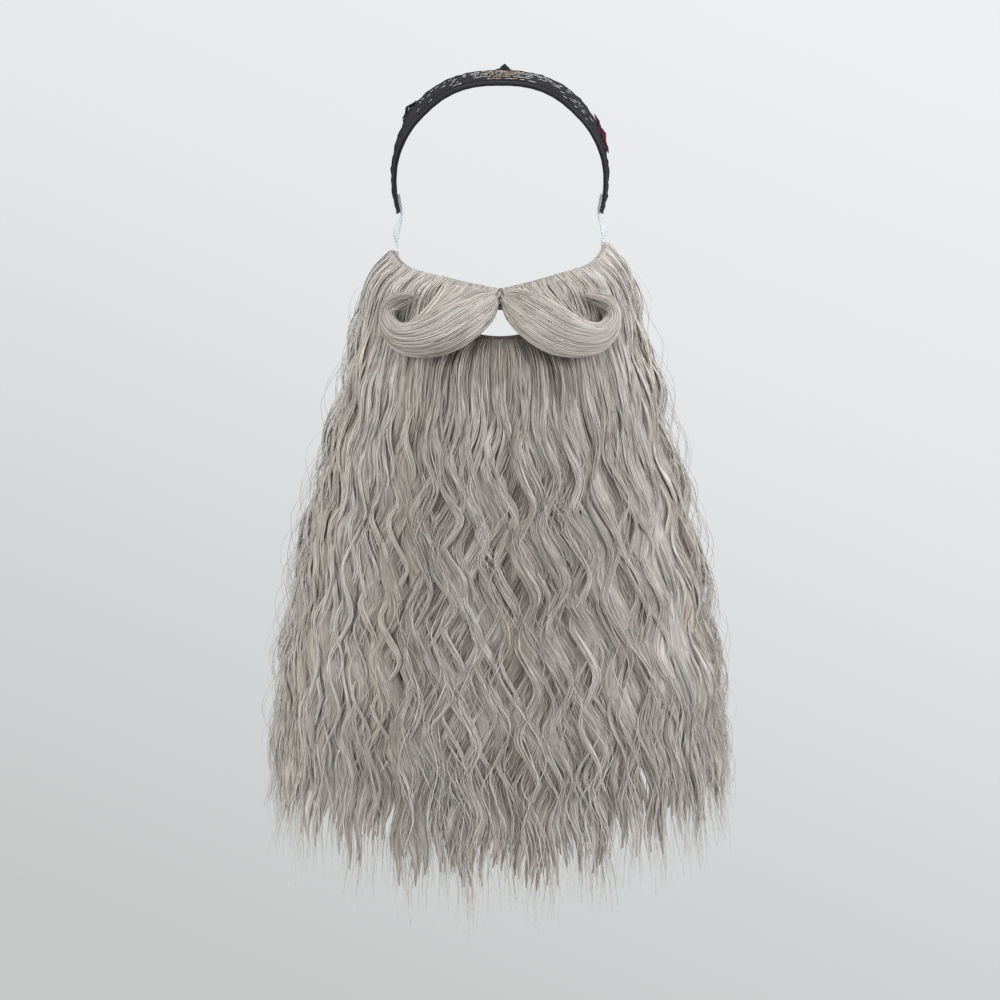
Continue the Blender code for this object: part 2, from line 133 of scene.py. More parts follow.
class SmoothTable:
    """Columns on a smooth curve through the rows of a short table."""

    def __init__(self, table: Floats, steps: int = 4) -> None:
        """Add rows between the table's own.

        Args:
            table: Its rows, whose first column is what it is read by.
            steps: How many steps lead from one row to the next.
        """
        ends = np.vstack([table[:1], table, table[-1:]])
        t = np.arange(steps)[:, None] / steps
        fine = [
            0.5
            * (
                2 * q
                + (r - p) * t
                + (2 * p - 5 * q + 4 * r - s) * t**2
                + (3 * q - p - 3 * r + s) * t**3
            )
            for p, q, r, s in zip(ends, ends[1:], ends[2:], ends[3:])
        ]
        self.rows = np.vstack([*fine, table[-1:]])

    def read(self, at: Floats | float) -> list[Floats]:
        """Read every column after the first.

        Args:
            at: Values of the first column.

        Returns:
            One array for each column, of the shape of `at`.
        """
        rows = self.rows if self.rows[0, 0] < self.rows[-1, 0] else self.rows[::-1]
        return [np.interp(at, rows[:, 0], column) for column in rows[:, 1:].T]


BACKING_CURVE = SmoothTable(BACKING_SECTIONS)
HAIR_CURVE = SmoothTable(HAIR_SECTIONS)
TIP_CURVE = SmoothTable(TIP_LEVELS)
BAND_CURVE = SmoothTable(BAND_EDGES)


class Side(Enum):
    """The wearer's right and left, with the sign of X there."""

    RIGHT = ("right", -1)
    LEFT = ("left", 1)

    def __init__(self, word: str, sign: int) -> None:
        """Keep the side's name and the sign of X there."""
        self.word, self.sign = word, sign


class Region(Enum):
    """The three masses of hair: node, first and last share of a quarter turn, broad locks."""

    CHIN = ("chin_hair", (-0.2935, 0.2935), 7)
    CHEEK_RIGHT = ("cheek_hair_right", (-1.0, -0.3065), 8)
    CHEEK_LEFT = ("cheek_hair_left", (0.3065, 1.0), 8)

    def __init__(self, node: str, span: tuple[float, float], locks: int) -> None:
        """Keep the CAD node, where the mass lies, and how many broad locks its solid has."""
        self.node, self.span, self.locks = node, span, locks


# ---------------- colours and nodes


def linear(code: str) -> Colour:
    """Turn an sRGB colour into Blender's linear values.

    Args:
        code: The colour as #RRGGBB.

    Returns:
        Red, green, blue and an alpha of 1.
    """
    parts = [int(code[i : i + 2], 16) / 255 for i in (1, 3, 5)]
    flat = [c / 12.92 if c <= 0.04045 else ((c + 0.055) / 1.055) ** 2.4 for c in parts]
    return (*flat, 1.0)


def fill(tree: bpy.types.NodeTree, node: bpy.types.Node, sockets: Sockets) -> None:
    """Link or set a node's inputs.

    Args:
        tree: The node tree.
        node: The node.
        sockets: For each input, an output socket to link or a value to set.
    """
    for name, value in sockets.items():
        if isinstance(value, bpy.types.NodeSocket):
            tree.links.new(value, node.inputs[name])
        else:
            node.inputs[name].default_value = value


def add_node(
    tree: bpy.types.NodeTree,
    kind: str,
    out: str | int,
    sockets: Sockets | None = None,
    **settings: object,
) -> bpy.types.NodeSocket:
    """Add a node with its settings, fixed values and links.

    Args:
        tree: The node tree that takes the node.
        kind: The node's type, after the word ShaderNode.
        out: Which of its outputs is wanted.
        sockets: For each input, an output socket to link or a value to set.
        **settings: The node's own properties.

    Returns:
        The wanted output.
    """
    node = tree.nodes.new("ShaderNode" + kind)
    for name, value in settings.items():
        setattr(node, name, value)
    fill(tree, node, sockets or {})
    return node.outputs[out]


def new_material(name: str) -> tuple[bpy.types.Material, bpy.types.NodeTree, bpy.types.Node]:
    """Start a material that holds only a Principled shader and its output.

    Args:
        name: What the real material is.

    Returns:
        The material, its node tree and the shader.
    """
    material = bpy.data.materials.new(name)
    material.use_nodes = True
    tree = material.node_tree
    return material, tree, tree.nodes["Principled BSDF"]


def colour_ramp(
    tree: bpy.types.NodeTree, factor: bpy.types.NodeSocket, stops: Sequence[tuple[float, str]]
) -> bpy.types.NodeSocket:
    """Turn a value into a colour.

    Args:
        tree: The node tree.
        factor: The value, from 0 to 1.
        stops: Places on the ramp and the colour at each.

    Returns:
        The colour socket.
    """
    colour = add_node(tree, "ValToRGB", "Color", {"Fac": factor})
    points = colour.node.color_ramp.elements
    while len(points) < len(stops):
        points.new(0.5)
    for point, (place, code) in zip(points, stops):
        point.position = place
        point.color = linear(code)
    return colour


# ---------------- finishes


@dataclass(frozen=True)
class HairFinish:
    """Modacrylic fibre, drawn and heat set: a soft satin gloss in streaks along each lock.

    The map runs across the strands and along them, in metres. The vertex value `tone` says
    how light a strand is, from its dye and from painted light and shade, and `warmth` how beige it
    is.
    """

    name: str
    shades: tuple[str, ...]
    warm_shade: str = "#F6EEE4"
    # A fibre is 0.08 mm, too fine to show, so a streak stands for about ten of them.
    streak_width: float = 0.8 * MM
    streak_length: float = 17 * MM
    streak_depth: float = 0.2 * MM
    streak_waver: float = 0.7
    crimp_width: float = 2.6 * MM
    crimp_share: float = 0.45
    tone_share: float = 0.5
    roughness: tuple[float, float] = (0.40, 0.58)
    ior: float = 1.53
    glow: float = 0.3
    glow_depth: tuple[float, float, float] = (2 * MM, 1.8 * MM, 1.6 * MM)

    def build(self) -> bpy.types.Material:
        """Make the material.

        Returns:
            The hair material.
        """
        material, tree, shader = new_material(self.name)
        place = add_node(tree, "UVMap", "UV", uv_map="strands")
        tone = add_node(tree, "Attribute", "Fac", attribute_name="tone")
        warmth = add_node(tree, "Attribute", "Fac", attribute_name="warmth")
        fine = self._streaks(tree, place, self.streak_width, 3.0)
        broad = self._streaks(tree, place, self.crimp_width, 1.0)
        weighed = {0: broad, 1: self.crimp_share, 2: fine}
        both = add_node(tree, "Math", 0, weighed, operation="MULTIPLY_ADD")
        spread = {"Value": both, "From Min": 0.45, "From Max": 1.0}
        streaks = add_node(tree, "MapRange", "Result", spread)
        mixture = {"Factor": self.tone_share, "A": streaks, "B": tone}
        share = add_node(tree, "Mix", "Result", mixture, data_type="FLOAT")
        steps = len(self.shades) - 1
        stops = [(0.12 + 0.76 * i / steps, code) for i, code in enumerate(self.shades)]
        dyed = {0: warmth, 6: colour_ramp(tree, share, stops), 7: linear(self.warm_shade)}
        colour = add_node(tree, "Mix", 2, dyed, data_type="RGBA", blend_type="MULTIPLY")
        low, high = self.roughness
        gloss = {"Value": fine, "To Min": low, "To Max": high}
        relief = {"Height": both, "Distance": self.streak_depth, "Strength": 0.8}
        looks = {
            "Base Color": colour,
            "Roughness": add_node(tree, "MapRange", "Result", gloss),
            "Normal": add_node(tree, "Bump", "Normal", relief),
            "IOR": self.ior,
            "Subsurface Weight": self.glow,
            "Subsurface Radius": self.glow_depth,
            "Subsurface Scale": 1.0,
        }
        fill(tree, shader, looks)
        return material

    def _streaks(
        self, tree: bpy.types.NodeTree, place: bpy.types.NodeSocket, width: float, detail: float
    ) -> bpy.types.NodeSocket:
        """Noise drawn out along the strands.

        Args:
            tree: The node tree.
            place: The map across and along the strands.
            width: How wide a streak is.
            detail: The noise's octaves.

        Returns:
            The streaks, from 0 to 1.
        """
        size = (1 / width, 1 / self.streak_length, 1.0)
        drawn = {
            "Vector": add_node(tree, "Mapping", "Vector", {"Vector": place, "Scale": size}),
            "Scale": 1.0,
            "Detail": detail,
            "Roughness": 0.6,
            "Distortion": self.streak_waver,
        }
        return add_node(tree, "TexNoise", "Fac", drawn, noise_dimensions="2D")


@dataclass(frozen=True)
class KnitFinish:
    """A knitted stretch fabric: rows of small loops with painted shade between them, matt, with a
    faint wear of tone.

    The map runs across and along the cloth, in metres.
    """

    name: str
    yarn: str
    loop_shade_and_wear: str
    # A wale is 0.7 mm on such cloth and is drawn at twice that, so that it shows.
    loop: float = 1.4 * MM
    depth: float = 0.35 * MM
    # Handling and stretch leave patches of tone some 26 mm across.
    patches_per_metre: float = 38.0
    patch_share: float = 0.5
    roughness: tuple[float, float] = (0.72, 0.92)
    sheen: float = 0.25
    gloss: float = 0.5

    def build(self) -> bpy.types.Material:
        """Make the material.

        Returns:
            The fabric material.
        """
        material, tree, shader = new_material(self.name)
        place = add_node(tree, "UVMap", "UV", uv_map="cloth")
        size = (1 / self.loop, 1 / self.loop, 1.0)
        scaled = add_node(tree, "Mapping", "Vector", {"Vector": place, "Scale": size})
        cells = {"Vector": scaled, "Scale": 1.0, "Randomness": 0.25}
        kind = {"voronoi_dimensions": "2D", "feature": "F1"}
        loops = add_node(tree, "TexVoronoi", "Distance", cells, **kind)
        worn = {"Vector": place, "Scale": self.patches_per_metre, "Detail": 3.0}
        patches = add_node(tree, "TexNoise", "Fac", worn)
        weighed = {0: patches, 1: self.patch_share, 2: loops}
        share = add_node(tree, "Math", 0, weighed, operation="MULTIPLY_ADD", use_clamp=True)
        low, high = self.roughness
        matt = {"Value": patches, "To Min": low, "To Max": high}
        relief = {"Height": loops, "Distance": self.depth, "Strength": 0.7}
        looks = {
            # Painted shade between the loops, deeper in the worn patches.
            "Base Color": colour_ramp(tree, share, [(0.25, self.yarn), (1.0, self.loop_shade_and_wear)]),
            "Roughness": add_node(tree, "MapRange", "Result", matt),
            "Normal": add_node(tree, "Bump", "Normal", relief, invert=True),
            "Sheen Weight": self.sheen,
            "Specular IOR Level": self.gloss,
        }
        fill(tree, shader, looks)
        return material


@dataclass(frozen=True)
class ThreadFinish:
    """Twisted or gathered yarn: fine slanting ply, from matt cotton to bright lurex."""

    name: str
    light: str
    dark: str
    # The ply of a sewing thread is 0.3 mm and is drawn three times coarser.
    ply: float = 0.9 * MM
    depth: float = 0.15 * MM
    roughness: float = 0.6
    roughness_spread: float = 0.12
    metallic: float = 0.0
    gloss: float = 0.5

    def build(self) -> bpy.types.Material:
        """Make the material.

        Returns:
            The thread material.
        """
        material, tree, shader = new_material(self.name)
        place = add_node(tree, "TexCoord", "Object")
        twist = {"Vector": place, "Scale": 1 / self.ply, "Detail": 3.0, "Roughness": 0.6}
        noise = add_node(tree, "TexNoise", "Fac", twist)
        low, high = self.roughness - self.roughness_spread, self.roughness + self.roughness_spread
        rough = {"Value": noise, "To Min": low, "To Max": high}
        relief = {"Height": noise, "Distance": self.depth, "Strength": 0.8}
        looks = {
            "Base Color": colour_ramp(tree, noise, [(0.3, self.dark), (0.7, self.light)]),
            "Roughness": add_node(tree, "MapRange", "Result", rough),
            "Normal": add_node(tree, "Bump", "Normal", relief),
            "Metallic": self.metallic,
            "Specular IOR Level": self.gloss,
        }
        fill(tree, shader, looks)
        return material


@dataclass(frozen=True)
class ClearFinish:
    """Clear polyurethane elastic, extruded: glassy, with faint lengthwise die lines."""

    name: str = "clear_polyurethane_elastic"
    tint: str = "#F4F7F8"
    haze: str = "#E3E9EC"
    # Die lines are about 0.3 mm apart and are drawn four times coarser, so that they show.
    die_line: float = 1.2 * MM
    die_stretch: float = 0.05
    depth: float = 0.1 * MM
    roughness: tuple[float, float] = (0.12, 0.3)
    clearness: float = 0.68
    ior: float = 1.5

    def build(self) -> bpy.types.Material:
        """Make the material.

        Returns:
            The clear material.
        """
        material, tree, shader = new_material(self.name)
        place = add_node(tree, "TexCoord", "Object")
        size = (1 / self.die_line, 1 / self.die_line, self.die_stretch / self.die_line)
        lines = add_node(tree, "Mapping", "Vector", {"Vector": place, "Scale": size})
        noise = add_node(tree, "TexNoise", "Fac", {"Vector": lines, "Scale": 1.0, "Detail": 2.0})
        low, high = self.roughness
        rough = {"Value": noise, "To Min": low, "To Max": high}
        relief = {"Height": noise, "Distance": self.depth, "Strength": 0.5}
        looks = {
            "Base Color": colour_ramp(tree, noise, [(0.3, self.haze), (0.7, self.tint)]),
            "Roughness": add_node(tree, "MapRange", "Result", rough),
            "Normal": add_node(tree, "Bump", "Normal", relief),
            "Transmission Weight": self.clearness,
            "IOR": self.ior,
        }
        fill(tree, shader, looks)
        return material


# Waved fibre: mid grey with beige under it, silver at the light end and taupe at the dark end,
# which the painted shade of the deep hair also takes
WAVED_HAIR = HairFinish("waved_modacrylic_fibre", ("#56504B", "#88817B", "#ADA7A1", "#D4D0CB"))
# Moustache fibre, combed and set over a former, with longer and smoother streaks
COMBED_HAIR = HairFinish(
    "combed_modacrylic_fibre",
    ("#66605A", "#99928B", "#BDB7B0", "#DDD9D3"),
    streak_width=0.65 * MM,
    streak_length=45 * MM,
    streak_depth=0.16 * MM,
    streak_waver=0.3,
    roughness=(0.34, 0.5),
)
# Warp-knitted polyamide of the cup, dyed to the hair: matt grey loops
BACKING_KNIT = KnitFinish("grey_stretch_warp_knit", "#8F877E", "#5D564F")
# Power net of the band, knitted from black polyamide: near black, with a cool bloom. Its
# loops are drawn coarser still, because the band is small in the picture.
BAND_KNIT = KnitFinish(
    "black_power_net", "#18161C", "#060607", loop=1.9 * MM, sheen=0.1, gloss=0.2
)
# Rolled polyamide elastic of the front edge: smoother, black with a violet cast
ROLLED_ELASTIC = ThreadFinish(
    "black_rolled_elastic", "#19161F", "#0A090D", roughness=0.5, gloss=0.22
)
# Black cord of the netting and its bunches: matt
NET_CORD = ThreadFinish("black_net_cord", "#232127", "#0A090B", roughness=0.65, gloss=0.2)
# Silver and gold lurex woven through the net: flat metal-bright dashes
SILVER_LUREX, GOLD_LUREX = (
    ThreadFinish(name, light, dark, roughness=0.35, metallic=0.75, depth=0.05 * MM)
    for name, light, dark in (
        ("silver_lurex", "#D8D6D4", "#8E8C8E"),
        ("gold_lurex", "#D9A867", "#8A6238"),
    )
)
# Maroon polyester yarn, gathered: deep red, with painted shade every 2.6 mm or so where a fold goes
# in
MAROON_YARN = ThreadFinish(
    "maroon_polyester_yarn", "#64182F", "#12080D", ply=2.6 * MM, roughness=0.7, gloss=0.2
)
# Grey polyester sewing thread of the cup
GREY_THREAD = ThreadFinish("grey_sewing_thread", "#A8A098", "#766E66", roughness=0.55)
CLEAR_ELASTIC = ClearFinish()


# ---------------- meshes


def normalised(vectors: Floats) -> Floats:
    """Scale vectors to a length of 1."""
    return vectors / np.maximum(np.linalg.norm(vectors, axis=-1, keepdims=True), 1e-12)


def register(
    mesh: bpy.types.Mesh,
    materials: Sequence[bpy.types.Material],
    nodes: Sequence[str] = (),
) -> bpy.types.Object:
    """Put a mesh in the scene as a piece of the beard.

    Args:
        mesh: Its mesh, in the row frame, with the piece's name.
        materials: Its materials, in order.
        nodes: The CAD nodes that it stands for.

    Returns:
        The new object.
    """
    for material in materials:
        mesh.materials.append(material)
    piece = bpy.data.objects.new(mesh.name, mesh)
    bpy.context.scene.collection.objects.link(piece)
    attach(piece, BODY)
    if nodes:
        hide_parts(*nodes)
    return piece


@dataclass
class Tubes:
    """A set of closed tubes with the same number of rings and sides.

    Attributes:
        centres: Points of each centre line, of shape (tubes, rings, 3).
        outs: The way that each ring faces, of the same shape.
        half_width: Half the width at each ring, of shape (tubes, rings).
        half_depth: Half the depth at each ring, of the same shape.
        sides: How many sides a ring has.
        tone: How light each tube is, of shape (tubes,) or (tubes, rings).
        warmth: How warm each tube's colour is, of shape (tubes,).
        ribs: How far each corner stands out, of shape (tubes, rings, sides), or None.
        material: Which of the piece's materials the tubes have.
    """

    centres: Floats
    outs: Floats
    half_width: Floats
    half_depth: Floats
    sides: int
    tone: Floats
    warmth: Floats
    ribs: Floats | None = None
    material: int = 0

    def points(self) -> Floats:
        """Corners of every ring, of shape (tubes, rings, sides, 3)."""
        along = normalised(np.gradient(self.centres, axis=1))
        broad = normalised(np.cross(along, self.outs))
        deep = np.cross(broad, along)
        turn = 2 * np.pi * (np.arange(self.sides) + 0.5) / self.sides
        out = 1.0 if self.ribs is None else self.ribs
        across = self.half_width[..., None] * np.cos(turn) * out
        up = self.half_depth[..., None] * np.sin(turn) * out
        return (
            self.centres[:, :, None]
            + broad[:, :, None] * across[..., None]
            + deep[:, :, None] * up[..., None]
        )

    def lengths(self) -> Floats:
        """How far along its tube each ring lies, of shape (tubes, rings)."""
        steps = np.linalg.norm(np.diff(self.centres, axis=1), axis=2)
        return np.concatenate([np.zeros((len(steps), 1)), np.cumsum(steps, axis=1)], axis=1)

    def girth(self) -> Floats:
        """The mean distance round each tube, of shape (tubes,)."""
        mean = np.sqrt((self.half_width**2 + self.half_depth**2) / 2)
        return 2 * np.pi * mean.mean(axis=1)


class TubeMesh:
    """Many tubes joined into one mesh, with a map along them and two values for the finish."""

    def __init__(self, seed: int) -> None:
        """Start an empty mesh.

        Args:
            seed: Seeds where each tube lies on the pattern.
        """
        self.rng = np.random.default_rng(seed)
        self.parts: list[dict[str, Floats]] = []
        self.used = 0

    def add(self, tubes: Tubes) -> None:
        """Add a set of tubes.

        Args:
            tubes: The tubes.
        """
        count, rings = tubes.centres.shape[:2]
        sides = tubes.sides
        points = tubes.points()
        grid = self.used + np.arange(count * rings * sides).reshape(count, rings, sides)
        beside = np.roll(grid, -1, axis=2)
        quads = np.stack(
            [grid[:, :-1], grid[:, 1:], beside[:, 1:], beside[:, :-1]], axis=-1
        ).reshape(-1)
        caps = np.stack([grid[:, 0], grid[:, -1, ::-1]], axis=1).reshape(-1)
        shift = self.rng.random((count, 2)) * 7.0
        round_ = (tubes.girth() / sides)[:, None] * np.arange(sides + 1) + shift[:, :1]
        along = tubes.lengths() + shift[:, 1:]
        u = np.broadcast_to(round_[:, None, :], (count, rings, sides + 1))
        v = np.broadcast_to(along[:, :, None], (count, rings, sides + 1))
        place = np.stack([u, v], axis=-1)
        quad_place = np.stack(
            [place[:, :-1, :-1], place[:, 1:, :-1], place[:, 1:, 1:], place[:, :-1, 1:]],
            axis=3,
        ).reshape(-1, 2)
        cap_place = np.stack([place[:, 0, :-1], place[:, -1, -2::-1]], axis=1).reshape(-1, 2)
        shape = (count, rings, sides)
        self.parts.append(
            {
                "points": points.reshape(-1, 3),
                "corners": np.concatenate([quads, caps]),
                "totals": np.concatenate(
                    [np.full(len(quads) // 4, 4), np.full(2 * count, sides)]
                ),
                "place": np.concatenate([quad_place, cap_place]),
                "tone": np.broadcast_to(
                    tubes.tone.reshape(count, -1, 1), shape
                ).reshape(-1),
                "warmth": np.broadcast_to(tubes.warmth[:, None, None], shape).reshape(-1),
                "material": np.full(len(quads) // 4 + 2 * count, tubes.material),
            }
        )
        self.used += count * rings * sides

    def build(self, name: str) -> bpy.types.Mesh:
        """Join everything that was added.

        Args:
            name: The mesh's name.

        Returns:
            The mesh, with its map and its two values.
        """
        whole = {key: np.concatenate([p[key] for p in self.parts]) for key in self.parts[0]}
        mesh = bpy.data.meshes.new(name)
        mesh.vertices.add(len(whole["points"]))
        mesh.vertices.foreach_set("co", whole["points"].astype(np.float32).ravel())
        mesh.loops.add(len(whole["corners"]))
        mesh.loops.foreach_set("vertex_index", whole["corners"].astype(np.int32))
        mesh.polygons.add(len(whole["totals"]))
        starts = np.concatenate([[0], np.cumsum(whole["totals"])[:-1]])
        mesh.polygons.foreach_set("loop_start", starts.astype(np.int32))
        mesh.polygons.foreach_set("material_index", whole["material"].astype(np.int32))
        mesh.update(calc_edges=True)
        layer = mesh.uv_layers.new(name="strands")
        layer.data.foreach_set("uv", whole["place"].astype(np.float32).ravel())
        for key in ("tone", "warmth"):
            values = mesh.attributes.new(key, "FLOAT", "POINT")
            values.data.foreach_set("value", whole[key].astype(np.float32))
        mesh.shade_smooth()
        return mesh


def cords(
    lines: Sequence[Sequence[Vector]],
    facing: Callable[[Floats], Floats],
    half: tuple[float, float],
    sides: int,
    material: int = 0,
) -> Tubes:
    """Cords of one width along lines of points.

    Args:
        lines: The points of each cord, the same number in each.
        facing: Gives the way that a cord faces at its points.
        half: Half a cord's width and half its depth.
        sides: How many sides it has.
        material: Which of the piece's materials it has.

    Returns:
        The cords.
    """
    centres = np.array([[tuple(p) for p in line] for line in lines])
    outs = normalised(facing(centres))
    wide, deep = (np.full(centres.shape[:2], size) for size in half)
    plain = np.full(len(centres), 0.5)
    return Tubes(centres, outs, wide, deep, sides, plain, plain, material=material)


def loft(bm: bmesh.types.BMesh, sections: Sequence[Sequence[Vector]]) -> None:
    """Draw a closed form through closed sections by extruding one ring after another.

    Args:
        bm: The bmesh that takes the form.
        sections: The points of each ring, the same number in each.
    """
    sides = len(sections[0])
    made = bmesh.ops.create_circle(bm, cap_ends=False, radius=1.0, segments=sides)
    ring = sorted(made["verts"], key=lambda v: math.atan2(v.co.y, v.co.x))
    edges = list(dict.fromkeys(e for v in ring for e in v.link_edges))
    first = list(ring)
    for vertex, point in zip(ring, sections[0]):
        vertex.co = point
    for section in sections[1:]:
        before = {v: i for i, v in enumerate(ring)}
        made = bmesh.ops.extrude_edge_only(bm, edges=edges)
        fresh = [g for g in made["geom"] if isinstance(g, bmesh.types.BMVert)]
        edges = [
            g
            for g in made["geom"]
            if isinstance(g, bmesh.types.BMEdge) and all(v in fresh for v in g.verts)
        ]
        ring = [None] * sides
        for vertex in fresh:
            below = next(
                before[e.other_vert(vertex)]
                for e in vertex.link_edges
                if e.other_vert(vertex) in before
            )
            ring[below] = vertex
            vertex.co = section[below]
    bmesh.ops.contextual_create(bm, geom=first)
    bmesh.ops.contextual_create(bm, geom=ring)
    bmesh.ops.recalc_face_normals(bm, faces=bm.faces)
    # Extruding makes faces in an order that varies from run to run, so they are sorted.
    bm.verts.index_update()
    count = len(bm.verts)

    def order(face: bmesh.types.BMFace) -> int:
        """A number of its own for each face, from its least and greatest corner."""
        corners = [v.index for v in face.verts]
        return min(corners) * count + max(corners)

    bm.faces.sort(key=order)


def mesh_from(bm: bmesh.types.BMesh, name: str, smooth_degrees: float = 50) -> bpy.types.Mesh:
    """Turn a bmesh into a mesh with smooth faces.

    Args:
        bm: The bmesh, which is freed.
        name: The mesh's name.
        smooth_degrees: An edge sharper than this stays crisp.

    Returns:
        The mesh.
    """
    mesh = bpy.data.meshes.new(name)
    bm.to_mesh(mesh)
    bm.free()
    mesh.shade_smooth()
    mesh.set_sharp_from_angle(angle=math.radians(smooth_degrees))
    return mesh


def cloth_grid(
    columns: int, rows: int, size: tuple[float, float], place: Callable[[float, float], Vector]
) -> bmesh.types.BMesh:
    """A flat grid of cloth laid on a surface, with a map in metres.

    Args:
        columns: How many faces it has across.
        rows: How many faces it has along.
        size: The cloth's width and length.
        place: The point of the surface for shares of the width and length.

    Returns:
        The bmesh of the sheet.
    """
    bm = bmesh.new()
    bmesh.ops.create_grid(bm, x_segments=columns, y_segments=rows, size=0.5)
    layer = bm.loops.layers.uv.new("cloth")
    for face in bm.faces:
        for corner in face.loops:
            x, y = corner.vert.co.xy
            corner[layer].uv = ((x + 0.5) * size[0], (y + 0.5) * size[1])
    for vertex in bm.verts:
        x, y = vertex.co.xy
        vertex.co = place(x + 0.5, y + 0.5)
    bm.normal_update()
    return bm


# ---------------- the hair's plan


@dataclass
class Guides:
    """Centre lines of locks or strands, one row of values for each.

    Attributes:
        share: Where it lies, as a share of a quarter turn from the nose.
        start: The level where it starts.
        end: The level where it ends.
        swing: How far it swings sideways in a wave.
        phase: Where in the wave it is, against its neighbours.
        wave_length: The length of one wave.
        depth: 0 on the outer face of the hair and 1 on the inner face.
        sink: How far under that face it lies.
        weave: How far it rises and sinks in a wave.
        dive: How far its two ends go under.
        aside: How far it lies sideways of its wave, for all of it or at each point.
        rough: How far it leaves its face at each point.
    """

    share: Floats
    start: Floats
    end: Floats
    swing: Floats
    phase: Floats
    wave_length: Floats
    depth: Floats
    sink: Floats
    weave: Floats
    dive: Floats
    aside: Floats
    rough: Floats


@dataclass(frozen=True)
class HairPlan:
    """Where the hair lies: the same ovals, edges, tips and waves as the solids have."""

    side_y: float = -15 * MM
    lip_top: float = -199 * MM
    cheek_top_at_nose: float = -163 * MM
    ear_rise: tuple[float, float] = (33 * MM, 39 * MM)
    jaw_bottom_at_chin: float = -238 * MM
    jaw_bottom_rise: float = 58 * MM
    edge_drop: float = 1 * MM
    edge_share: float = 0.15
    roll_over: float = 6.5 * MM
    tip_uneven: float = 9 * MM
    taper_length: float = 110 * MM
    tip_thickness: float = 3 * MM
    groove: float = 3.2 * MM
    held_over: float = 60 * MM
    root_dive_over: float = 14 * MM
    tip_dive_over: float = 22 * MM
    wave_starts: float = -225 * MM
    wave_grows_over: float = 90 * MM
    tips_straighten_over: float = 85 * MM
    bend_sharpness: float = 0.8

    def cheek_top(self, sine: Floats) -> Floats:
        """Level of the backing's top edge, by the sine of the angle from the nose."""
        slope = 0.6 * np.abs(sine) ** 1.2 + 0.4 * np.abs(sine) ** 12
        rise = np.where(np.asarray(sine) > 0, self.ear_rise[1], self.ear_rise[0])
        return self.cheek_top_at_nose + rise * slope

    def jaw_bottom(self, sine: Floats) -> Floats:
        """Level of the backing's bottom edge, by the sine of the angle from the nose."""
        return self.jaw_bottom_at_chin + self.jaw_bottom_rise * np.abs(sine) ** 2.4

    def top(self, region: Region, share: Floats) -> Floats:
        """Level where the hair starts at a share."""
        if region is Region.CHIN:
            return np.full_like(share, self.lip_top)
        return self.cheek_top(np.sin(share * np.pi / 2)) - self.edge_drop

    def tip(self, share: Floats) -> Floats:
        """Level where the tips end at a share."""
        return TIP_CURVE.read(np.abs(share))[0] + self.tip_uneven * np.sin(37 * share + 1)

    def phase(self, share: Floats, z: Floats) -> Floats:
        """Where in its wave the hair is: clumps side by side move together."""
        slow = 2.4 * np.sin(5.1 * share + 0.7) + 1.3 * np.sin(11.0 * share)
        clumps = 0.85 * np.sin(29.0 * share + 2.0 + 9.0 * z)
        return slow + clumps + 0.4 * np.sin(53.0 * share + 0.4 - 14.0 * z)

    def bend(self, angle: Floats) -> Floats:
        """A wave with long straight flanks and rounded bends, from -1 to 1."""
        most = math.asin(self.bend_sharpness)
        return np.arcsin(self.bend_sharpness * np.sin(angle)) / most

    def follow(
        self, region: Region, g: Guides, rings: int, ease: float = 1.0
    ) -> tuple[Floats, Floats, Floats]:
        """Lay guides in the hair.

        Args:
            region: The mass of hair that they belong to.
            g: The guides.
            rings: How many points each line has.
            ease: Above 1, the points lie closer together near the start.

        Returns:
            The points, the way that the hair faces at each, and how thick the mass is there.
        """
        down = np.linspace(0, 1, rings) ** ease
        z = g.start[:, None] + (g.end - g.start)[:, None] * down
        share = g.share[:, None]
        top = self.top(region, share)
        tip = self.tip(share)
        outer_width, outer_depth, inner_width, inner_depth = HAIR_CURVE.read(z)
        rolled = (1 - self.edge_share) * np.exp(-np.maximum(top - z, 0) / self.roll_over)
        width = outer_width + (inner_width - outer_width) * rolled
        depth = outer_depth + (inner_depth - outer_depth) * rolled
        grown = np.clip((self.wave_starts - z) / self.wave_grows_over, 0.05, 1)
        grown = grown * np.clip((z - tip) / self.tips_straighten_over, 0.15, 1)
        angle = 2 * np.pi * z / g.wave_length[:, None] + self.phase(share, z)
        angle = angle + g.phase[:, None]
        side = g.swing[:, None] * grown * self.bend(angle) + g.aside
        around = share * np.pi / 2 + side / width
        sine, cosine = np.sin(around), np.cos(around)
        thick = np.hypot((width - inner_width) * sine, (depth - inner_depth) * cosine)
        closing = np.clip(1 - (z - tip) / self.taper_length, 0, 1)
        kept = thick + (np.minimum(self.tip_thickness, thick) - thick) * closing
        first, last = region.span
        pitch = (last - first) / region.locks
        hollow = 0.5 + 0.5 * np.cos(2 * np.pi * (share - first) / pitch)
        hollow = hollow * np.minimum(self.groove, 0.3 * kept)
        ends = np.exp((z - g.start[:, None]) / self.root_dive_over)
        ends = ends + np.exp((g.end[:, None] - z) / self.tip_dive_over)
        inward = np.where(g.depth[:, None] > 0.5, -1.0, 1.0)
        loose = np.clip((top - z) / self.held_over, 0, 1)
        sink = g.weave[:, None] * np.cos(angle + 2.1 * g.phase[:, None]) * loose + g.rough
        sink = sink + np.minimum(g.sink[:, None] + g.dive[:, None] * ends, 0.45 * kept)
        sink = sink * inward
        under = (thick - kept) / 2 + g.depth[:, None] * kept + sink
        under = under + hollow * (1 - g.depth[:, None])
        outs = np.stack([sine / width, -cosine / depth, np.zeros_like(z)], axis=-1)
        outs = normalised(outs)
        face = np.stack([width * sine, self.side_y - depth * cosine, z], axis=-1)
        return face - outs * under[..., None], outs, thick


PLAN = HairPlan()


